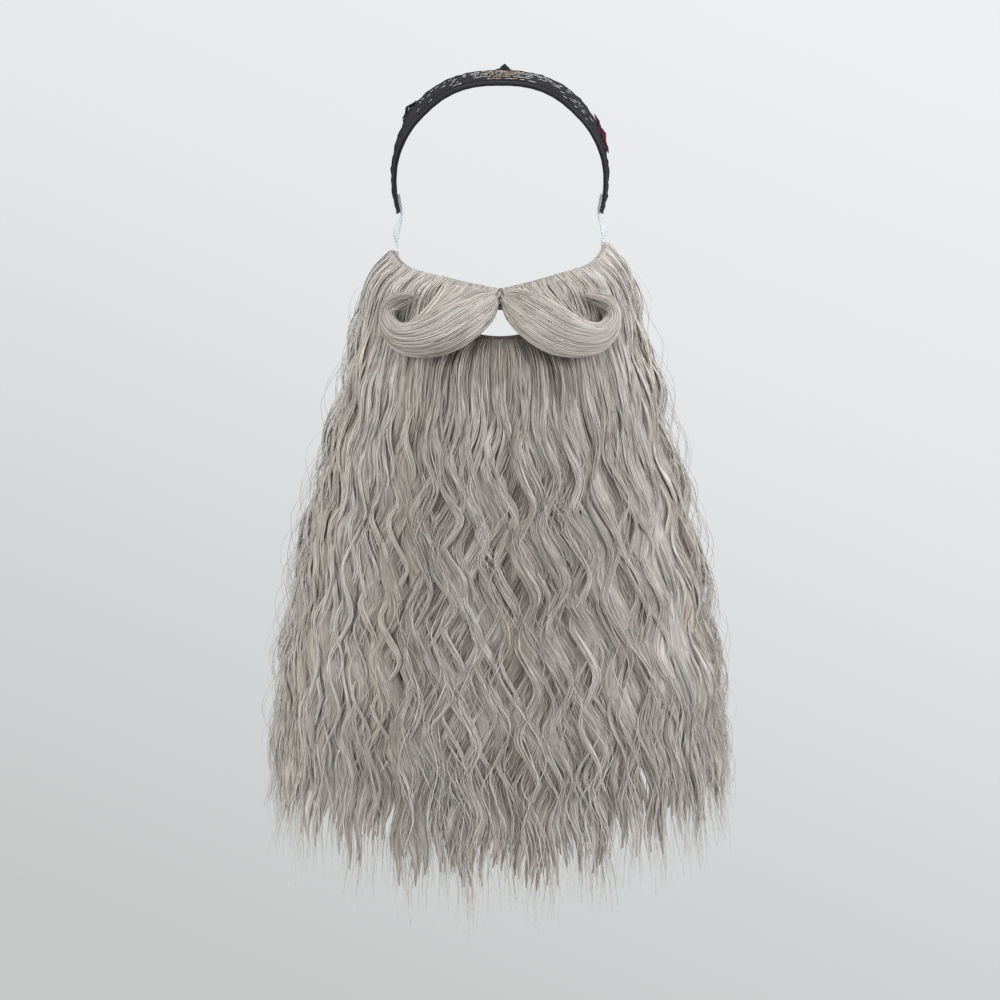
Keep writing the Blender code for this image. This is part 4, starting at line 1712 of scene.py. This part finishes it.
@dataclass
class HeadBand:
    """The stretch net over the top of the head, its rolled edge, threads and gathers."""

    head_half_width: float = 78.2 * MM
    head_half_length: float = 97 * MM
    head_centre_y: float = 5 * MM
    dome: float = 88 * MM
    crown_squareness: float = 2.42
    brow_squareness: float = 2.3
    lean: float = 0.5
    temple_tuck: float = 3.6 * MM
    net_wall: float = 1.2 * MM
    touch_gap: float = 0.35 * MM
    roll_half_width: float = 2.6 * MM
    roll_half_thickness: float = 1.5 * MM
    widest: float = 100.0
    net_flat: tuple[float, float] = (0.285, 0.062)
    net_area: float = 0.0125
    net_grid: tuple[int, int] = (110, 14)
    cell: float = 3.4 * MM
    cord_half: float = 0.26 * MM
    dashes: int = 180
    dash_rows: tuple[float, float] = (0.06, 0.34)

    def head_point(self, degrees: float, y: float, off: float = 0.0) -> Vector:
        """A point on the head's dome.

        Args:
            degrees: The angle from the crown, towards the left ear.
            y: How far back it lies.
            off: How far it is lifted off the dome.

        Returns:
            The point.
        """
        along = min(abs((y - self.head_centre_y) / self.head_half_length), 0.99)
        girth = (1 - along**self.brow_squareness) ** (1 / self.brow_squareness)
        sine, cosine = math.sin(math.radians(degrees)), math.cos(math.radians(degrees))
        power = self.crown_squareness
        reach = (abs(sine) ** power + abs(cosine) ** power) ** (-1 / power)
        lean = self.lean * (y - self.head_centre_y) / self.head_half_length
        outward = Vector((sine, lean, cosine)).normalized()
        tucked = max(abs(degrees) - 75, 0) / 25
        tuck = math.copysign(self.temple_tuck * tucked**2, sine)
        x = self.head_half_width * reach * sine * girth - tuck
        z = self.dome * reach * cosine * girth
        return Vector((x, y, z - self.dome)) + outward * off

    def rumple(self, degrees: float, back: float) -> float:
        """How far the net's small rumples lift it, most at its rear edge."""
        waves = math.sin(0.31 * degrees + 1.2) * math.sin(0.83 * degrees + 4.0 * back)
        fine = 0.5 * math.sin(1.9 * degrees + 0.6) * math.sin(0.47 * degrees)
        return 0.5 * MM * back * (1 + waves + fine)

    def net_point(self, degrees: float, back: float, off: float = 0.0) -> Vector:
        """A point on the net, from its front edge (0) to its rear edge (1)."""
        front, rear = (float(v) for v in BAND_CURVE.read(abs(degrees)))
        front += 2 * self.roll_half_width + self.touch_gap
        y = front + (rear - front) * back
        return self.head_point(degrees, y, off + self.rumple(degrees, back))

    def build(self) -> list[bpy.types.Object]:
        """Make the band's pieces.

        Returns:
            The pieces.
        """
        threads = self._net_threads()
        net = self._net_sheet()
        return [net, threads, self._binding(), self._knot(), self._open_bunch(), self._maroon()]

    def _net_sheet(self) -> bpy.types.Object:
        """The knitted net itself, as a sheet.


        Returns:
            The piece.
        """
        columns, rows = self.net_grid
        bm = cloth_grid(
            columns, rows, self.net_flat, lambda u, v: self.net_point(self.widest * (2 * u - 1), v)
        )
        if sum(f.normal.z for f in bm.faces) < 0:
            bmesh.ops.reverse_faces(bm, faces=bm.faces)
        mesh = mesh_from(bm, "band_net_sheet", 80)
        net = register(mesh, [BAND_KNIT.build()], ["head_band_net"])
        wall = net.modifiers.new("wall", "SOLIDIFY")
        wall.thickness = self.net_wall
        wall.offset = 1
        return net

    def _outward(self, points: Floats) -> Floats:
        """The way out from the head's middle at points of the net."""
        return points - np.array([0, self.head_centre_y, -self.dome])

    def _net_threads(self) -> bpy.types.Object:
        """The net's crossing cords, its rear hem and the bright dashes woven through it.

        Returns:
            The piece.
        """
        rng = np.random.default_rng(41)
        whole = TubeMesh(42)
        lift = self.net_wall + 0.15 * MM
        turn = math.degrees(self.cell / self.dome)
        count = int(2 * self.widest / turn)
        for slant in (-1, 1):
            lines = []
            for i in range(count):
                middle = -self.widest + turn * (i + 0.5)
                reach = 22.0 * (1 - 0.6 * abs(middle) / self.widest) * slant
                shares = np.linspace(0.01, 0.99, 13)
                angles = np.clip(middle + reach * (shares - 0.5), -99.0, 99.0)
                lines.append([self.net_point(a, s, lift) for a, s in zip(angles, shares)])
            size = (self.cord_half, self.cord_half * 0.8)
            whole.add(cords(lines, self._outward, size, 4))
        angles = np.linspace(-self.widest, self.widest, 121)
        for back, half in ((0.985, 0.9 * MM), (0.94, 0.35 * MM)):
            hem = [self.net_point(a, back, self.net_wall * 0.7) for a in angles]
            whole.add(cords([hem], self._outward, (half, half * 0.8), 6))
        for material, low, high, number in ((1, -45, 50, self.dashes), (2, -9, 10, 34)):
            lines = []
            for _ in range(number):
                middle, half_span = (low + high) / 2, (high - low) / 2
                angle = middle + half_span * (rng.random() + rng.random() - 1) * 1.15
                row = self.dash_rows[0] + self.dash_rows[1] * round(rng.random() * 5) / 5
                length = math.degrees((1.4 + 3.0 * rng.random()) * MM / self.dome)
                places = enumerate(np.linspace(0, length, 4))
                off = lift + 0.2 * MM
                lines.append(
                    [self.net_point(angle + s, row + 0.006 * k, off) for k, s in places]
                )
            whole.add(cords(lines, self._outward, (0.3 * MM, 0.24 * MM), 4, material))
        materials = [NET_CORD.build(), SILVER_LUREX.build(), GOLD_LUREX.build()]
        return register(whole.build("band_net_threads"), materials)

    def _binding(self) -> bpy.types.Object:
        """The rolled elastic along the front edge, with its fine gathers.

        Returns:
            The piece.
        """
        sections, rings, sides = [], 200, 12
        for i in range(rings + 1):
            degrees = self.widest * (2 * i / rings - 1)
            front = float(BAND_CURVE.read(abs(degrees))[0])
            lift = self.roll_half_thickness
            middle = self.head_point(degrees, front + self.roll_half_width, lift)
            before = self.head_point(degrees, front, lift)
            broad = (middle - before).normalized()
            along = self.head_point(degrees + 1, front) - self.head_point(degrees - 1, front)
            out = broad.cross(along).normalized()
            gather = 1 - 0.035 * (i % 2) + 0.03 * math.sin(0.9 * degrees)
            turns = [2 * math.pi * (k + 0.5) / sides for k in range(sides)]
            sections.append(
                [
                    middle
                    + broad * (self.roll_half_width * math.cos(t) * gather)
                    + out * (self.roll_half_thickness * math.sin(t) * gather)
                    for t in turns
                ]
            )
        bm = bmesh.new()
        loft(bm, sections)
        mesh = mesh_from(bm, "band_binding_roll")
        return register(mesh, [ROLLED_ELASTIC.build()], ["head_band_binding"])

    def _lump(
        self,
        detail: int,
        degrees: float,
        y: float,
        size: tuple[float, float, float],
        lobes: int,
        fold: float,
    ) -> bmesh.types.BMesh:
        """A gathered lump that stands on the band.

        Args:
            detail: How finely the ball it starts from is divided.
            degrees: Its angle from the crown.
            y: How far back it lies.
            size: Its length, width and height.
            lobes: How many lobes it is gathered into.
            fold: How deep its fine folds are.

        Returns:
            The bmesh.
        """
        length, width, height = size
        bm = bmesh.new()
        bmesh.ops.create_icosphere(bm, subdivisions=detail, radius=1.0)
        base = self.head_point(degrees, y, self.net_wall + self.touch_gap)
        along = self.head_point(degrees + 1, y) - self.head_point(degrees - 1, y)
        along.normalize()
        back = Vector((0, 1, 0))
        up = back.cross(along).normalized()
        if up.dot(self.head_point(degrees, y, 1.0) - base) < 0:
            up = -up
        for vertex in bm.verts:
            x, w, h = vertex.co
            turn = math.atan2(w, x)
            lobe = 1 + 0.22 * math.sin(lobes * turn) * (1 - abs(h))
            rise = max(h, -0.15) * (1 + 0.22 * math.sin(lobes * 0.9 * x + 1) - 0.35 * abs(x))
            pleat = 1 + fold * math.sin(lobes * 3.1 * x + 3 * w) * (1 - abs(w))
            vertex.co = (
                base
                + along * (x * length / 2 * lobe)
                + back * (w * width / 2 * lobe * pleat)
                + up * ((rise * pleat + 0.15) * height)
            )
        bmesh.ops.recalc_face_normals(bm, faces=bm.faces)
        return bm

    def _knot(self) -> bpy.types.Object:
        """The knot of net at the crown.

        Returns:
            The piece.
        """
        bm = self._lump(4, 2, 2 * MM, (13.5 * MM, 9 * MM, 4.6 * MM), 5, 0.07)
        mesh = mesh_from(bm, "crown_knot", 70)
        return register(mesh, [NET_CORD.build()], ["crown_tuft"])

    def _open_bunch(self) -> bpy.types.Object:
        """The bunch of open net at the right, with daylight through its cells.

        Returns:
            The piece.
        """
        bm = self._lump(2, -50, 1 * MM, (17 * MM, 8 * MM, 3.6 * MM), 7, 0.1)
        bmesh.ops.wireframe(
            bm,
            faces=bm.faces,
            thickness=0.74 * MM,
            offset=0.0,
            use_replace=True,
            use_boundary=True,
            use_even_offset=True,
        )
        bmesh.ops.recalc_face_normals(bm, faces=bm.faces)
        mesh = mesh_from(bm, "open_net_bunch", 70)
        return register(mesh, [NET_CORD.build()], ["net_bunch"])

    def _maroon(self) -> bpy.types.Object:
        """The maroon gather at the left, drawn into pleats.

        Returns:
            The piece.
        """
        bm = self._lump(4, 62, -7 * MM, (26 * MM, 5 * MM, 2.6 * MM), 8, 0.12)
        mesh = mesh_from(bm, "maroon_pleats", 70)
        return register(mesh, [MAROON_YARN.build()], ["maroon_gather"])


# ---------------- the backing and straps


@dataclass
class Backing:
    """The fabric cup round the lower face, hemmed, with the hair sewn to it in rows."""

    wall: float = 2 * MM
    columns: int = 96
    rows: int = 26
    mouth_centre: float = -187 * MM
    mouth_half: tuple[float, float] = (25 * MM, 9 * MM)
    flat: tuple[float, float] = (0.252, 0.116)
    area: float = 0.0163
    hem_half: tuple[float, float] = (1.3 * MM, 1.2 * MM)
    stitch_rows: int = 5
    stitch: float = 4 * MM
    stitch_rise: float = 0.9 * MM
    thread_half: tuple[float, float] = (0.34 * MM, 0.3 * MM)
    # The mouth is cut in front of this, and no stitch lies within its margin
    front_y: float = -60 * MM
    face_radius: float = 80 * MM
    mouth_margin: float = 1.35

    def point(self, share: float, z: float, off: float = 0.0) -> Vector:
        """A point of the cup.

        Args:
            share: From -1 at the right ear to 1 at the left ear.
            z: Its level.
            off: How far outside the inner face it lies.

        Returns:
            The point.
        """
        half_width, depth = (float(v) for v in BACKING_CURVE.read(z))
        angle = share * math.pi / 2
        out = Vector((math.sin(angle) / half_width, -math.cos(angle) / depth, 0)).normalized()
        base = Vector((half_width * math.sin(angle), PLAN.side_y - depth * math.cos(angle), z))
        return base + out * off

    def level(self, share: float, down: float) -> float:
        """The level of a place, from the top edge (0) to the bottom edge (1)."""
        sine = math.sin(share * math.pi / 2)
        top, bottom = float(PLAN.cheek_top(sine)), float(PLAN.jaw_bottom(sine))
        return top + (bottom - top) * down

    def build(self) -> list[bpy.types.Object]:
        """Make the cup, its hem and its stitches.

        Returns:
            The pieces.
        """
        stitches = self._stitches()
        hem = self._hem()
        return [self._cup(), hem, stitches]

    def _cup(self) -> bpy.types.Object:
        """The cup as a sheet, with the mouth cut out.


        Returns:
            The piece.
        """
        bm = cloth_grid(
            self.columns,
            self.rows,
            self.flat,
            lambda u, v: self.point(2 * u - 1, self.level(2 * u - 1, 1 - v)),
        )
        wide, high = self.mouth_half

        def reach(place: Vector) -> float:
            """How far a place is from the mouth's middle, 1 on its edge."""
            return math.hypot(place.x / wide, (place.z - self.mouth_centre) / high)

        inside = [
            f
            for f in bm.faces
            if f.calc_center_median().y < self.front_y and reach(f.calc_center_median()) < 1
        ]
        bmesh.ops.delete(bm, geom=inside, context="FACES")
        for vertex in bm.verts:
            far = reach(vertex.co)
            if vertex.is_boundary and vertex.co.y < self.front_y and far < self.mouth_margin:
                x = vertex.co.x / far
                z = self.mouth_centre + (vertex.co.z - self.mouth_centre) / far
                half_width = float(BACKING_CURVE.read(z)[0])
                vertex.co = self.point(math.asin(x / half_width) / (math.pi / 2), z)
        bm.normal_update()
        if sum(f.normal.y for f in bm.faces) > 0:
            bmesh.ops.reverse_faces(bm, faces=bm.faces)
        mesh = mesh_from(bm, "backing_cup", 70)
        cup = register(mesh, [BACKING_KNIT.build()], ["beard_backing"])
        wall = cup.modifiers.new("wall", "SOLIDIFY")
        wall.thickness = self.wall
        wall.offset = 1
        return cup

    def _hem(self) -> bpy.types.Object:
        """The folded hem along the cup's top and bottom edges.

        Returns:
            The piece.
        """
        whole = TubeMesh(61)
        shares = np.linspace(-0.998, 0.998, 131)
        for down in (0.02, 0.98):
            line = [self.point(s, self.level(s, down), self.wall * 0.45) for s in shares]
            whole.add(cords([line], self._outward, self.hem_half, 8))
        return register(whole.build("backing_hem"), [GREY_THREAD.build()])

    def _outward(self, points: Floats) -> Floats:
        """The way out from the middle of the head, level, at points of the cup."""
        return points * np.array([1, 1, 0]) - np.array([0, PLAN.side_y, 0])

    def _stitches(self) -> bpy.types.Object:
        """Rows of stitches on the inside that hold the hair's wefts.

        Returns:
            The piece.
        """
        whole = TubeMesh(62)
        for row in range(self.stitch_rows):
            down = 0.12 + 0.76 * row / (self.stitch_rows - 1)
            share, slant = -0.96, 1
            while share < 0.96:
                z = self.level(share, down)
                aside = share * math.pi / 2 * self.face_radius / self.mouth_half[0]
                far = math.hypot(aside, (z - self.mouth_centre) / self.mouth_half[1])
                half_width = float(BACKING_CURVE.read(z)[0])
                step = self.stitch / (half_width * math.pi / 2)
                if far > self.mouth_margin:
                    line = [
                        self.point(
                            share + step * t,
                            z + slant * self.stitch_rise * (2 * t - 1),
                            0.1 * MM - 0.22 * MM * math.sin(math.pi * t),
                        )
                        for t in (0.0, 0.25, 0.5, 0.75, 1.0)
                    ]
                    whole.add(cords([line], self._outward, self.thread_half, 4))
                share += step
                slant = -slant
        return register(whole.build("backing_stitches"), [GREY_THREAD.build()])


@dataclass
class ClearStrap:
    """A clear elastic strap from the head band's end to the backing's corner."""

    side: Side
    width: float = 8 * MM
    thickness: float = 1 * MM
    lift: float = 6 * MM

    def build(self, material: bpy.types.Material) -> bpy.types.Object:
        """Make the strap: a flat strip with rounded edges and a raised bead along each.

        Args:
            material: The clear material.

        Returns:
            The piece.
        """
        rows = SmoothTable(STRAP_STATIONS, 8).rows
        top, bottom = rows[0, 0], rows[-1, 0]
        # along, through, as shares of half the width and half the thickness, on one face
        face = ((-1.0, -0.4), (-0.9, -1.0), (-0.72, -0.85), (0.0, -0.8))
        face = (*face, (0.72, -0.85), (0.9, -1.0), (1.0, -0.4))
        outline = (*face, *((-along, -through) for along, through in face))
        rise = self.lift if self.side is Side.LEFT else 0.0
        sections = []
        for z, across, y, degrees in rows:
            level = z + rise * (top - z) / (top - bottom)
            turn = math.radians(degrees)
            broad = Vector((math.sin(turn), math.cos(turn), 0))
            out = Vector((math.cos(turn), -math.sin(turn), 0))
            ring = []
            for along, through in outline:
                point = Vector((across, y, level)) + broad * (along * self.width / 2)
                point += out * (through * self.thickness / 2)
                ring.append(Vector((self.side.sign * point.x, point.y, point.z)))
            sections.append(ring)
        bm = bmesh.new()
        loft(bm, sections)
        mesh = mesh_from(bm, f"clear_strap_{self.side.word}", 60)
        return register(mesh, [material], [f"ear_strap_{self.side.word}"])


# ---------------- the studio


@dataclass(frozen=True)
class AreaLight:
    """A soft box: where it stands, what it faces, its size and strength."""

    name: str
    place: tuple[float, float, float]
    aim: tuple[float, float, float]
    size: float
    watts: float
    colour: str

    def build(self) -> None:
        """Put the light in the scene."""
        light = bpy.data.lights.new(self.name, "AREA")
        light.shape = "SQUARE"
        light.size = self.size
        light.energy = self.watts
        light.color = linear(self.colour)[:3]
        lamp = bpy.data.objects.new(self.name, light)
        lamp.location = self.place
        towards = Vector(self.aim) - Vector(self.place)
        lamp.rotation_euler = towards.to_track_quat("-Z", "Y").to_euler()
        bpy.context.scene.collection.objects.link(lamp)


@dataclass(frozen=True)
class Studio:
    """A plain pale room: the camera straight ahead, soft light from both sides, a floor."""

    camera_place: tuple[float, float, float] = (0.0, -2.2, -0.310)
    lens: float = 108.8
    floor_level: float = -0.95
    floor_radius: float = 1.5
    lights: tuple[AreaLight, ...] = (
        AreaLight("left_softbox", (-1.9, -1.1, 0.4), (0, -0.05, -0.3), 1.2, 22.0, "#FFFDF8"),
        AreaLight("right_softbox", (2.0, -1.0, 0.4), (0, -0.05, -0.3), 1.2, 38.0, "#FAFBFF"),
        AreaLight("top_softbox", (0.0, -0.6, 1.3), (0, 0, -0.3), 1.0, 10.0, "#FFFFFF"),
    )

    def build(self) -> None:
        """Make the camera, lights, floor and surroundings."""
        camera = bpy.data.cameras.new("camera")
        camera.lens = self.lens
        camera.sensor_width = 36.0
        camera.clip_start = 0.05
        holder = bpy.data.objects.new("camera", camera)
        holder.location = self.camera_place
        holder.rotation_euler = (math.pi / 2, 0, 0)
        scene = bpy.context.scene
        scene.collection.objects.link(holder)
        scene.camera = holder
        scene.view_settings.view_transform = "Standard"
        for light in self.lights:
            light.build()
        self._floor()
        self._surroundings()

    def _floor(self) -> None:
        """A round pale floor."""
        bm = bmesh.new()
        bmesh.ops.create_circle(bm, cap_ends=True, radius=self.floor_radius, segments=96)
        bmesh.ops.translate(bm, verts=bm.verts, vec=(0, 0, self.floor_level))
        mesh = mesh_from(bm, "studio_floor")
        material, tree, shader = new_material("matt_studio_floor")
        place = add_node(tree, "TexCoord", "Object")
        noise = add_node(tree, "TexNoise", "Fac", {"Vector": place, "Scale": 6.0})
        colour = colour_ramp(tree, noise, [(0.3, "#C4C5C6"), (0.7, "#C9CACB")])
        fill(tree, shader, {"Base Color": colour, "Roughness": 0.9})
        mesh.materials.append(material)
        floor = bpy.data.objects.new("studio_floor", mesh)
        bpy.context.scene.collection.objects.link(floor)

    def _surroundings(self) -> None:
        """Pale surroundings that get a little lighter upwards and to the right."""
        world = bpy.data.worlds.new("pale_room")
        bpy.context.scene.world = world
        world.use_nodes = True
        tree = world.node_tree
        way = add_node(tree, "TexCoord", "Generated")
        right = add_node(tree, "SeparateXYZ", "X", {"Vector": way})
        sums = {0: right, 1: 0.4, 2: right.node.outputs["Z"]}
        slant = add_node(tree, "Math", 0, sums, operation="MULTIPLY_ADD")
        reach = {"Value": slant, "From Min": -0.19, "From Max": 0.19}
        share = add_node(tree, "MapRange", "Result", reach)
        stops = [(0.0, "#C6C8C8"), (0.3, "#D3D6D6"), (0.65, "#E4E6E8"), (1.0, "#EDEFF1")]
        colour = colour_ramp(tree, share, stops)
        fill(tree, tree.nodes["Background"], {"Color": colour, "Strength": 1.0})


# ---------------- the whole


# How many wisps, loose strands, and strands over the edge, at the tips and flying off
CHIN_AMOUNTS = (54, 350, 60, 210, 16)
CHEEK_AMOUNTS = (40, 300, 230, 170, 34)


def triangles(piece: bpy.types.Object) -> int:
    """How many triangles a piece has as shown."""
    shown = piece.evaluated_get(bpy.context.evaluated_depsgraph_get())
    mesh = shown.to_mesh()
    mesh.calc_loop_triangles()
    count = len(mesh.loop_triangles)
    shown.to_mesh_clear()
    return count


def main() -> None:
    """Build the studio and every piece, and report each one."""
    logging.basicConfig(level=logging.INFO, format="%(message)s", stream=sys.stdout)
    Studio().build()
    waved, combed, clear = WAVED_HAIR.build(), COMBED_HAIR.build(), CLEAR_ELASTIC.build()
    pieces = [ClearStrap(side).build(clear) for side in Side]
    pieces += Backing().build()
    for seed, region in enumerate(Region):
        amounts = CHIN_AMOUNTS if region is Region.CHIN else CHEEK_AMOUNTS
        pieces += HairMass(region, 100 + 10 * seed, *amounts).build(waved)
    for seed, side in enumerate(Side):
        pieces.append(MoustacheHalf(side, seed=200 + seed).build(combed))
    pieces += HeadBand().build()
    total = 0
    for piece in pieces:
        count = triangles(piece)
        total += count
        log.info("%s: %d triangles", piece.name, count)
    log.info("in all: %d triangles", total)


if __name__ == "__main__":
    main()
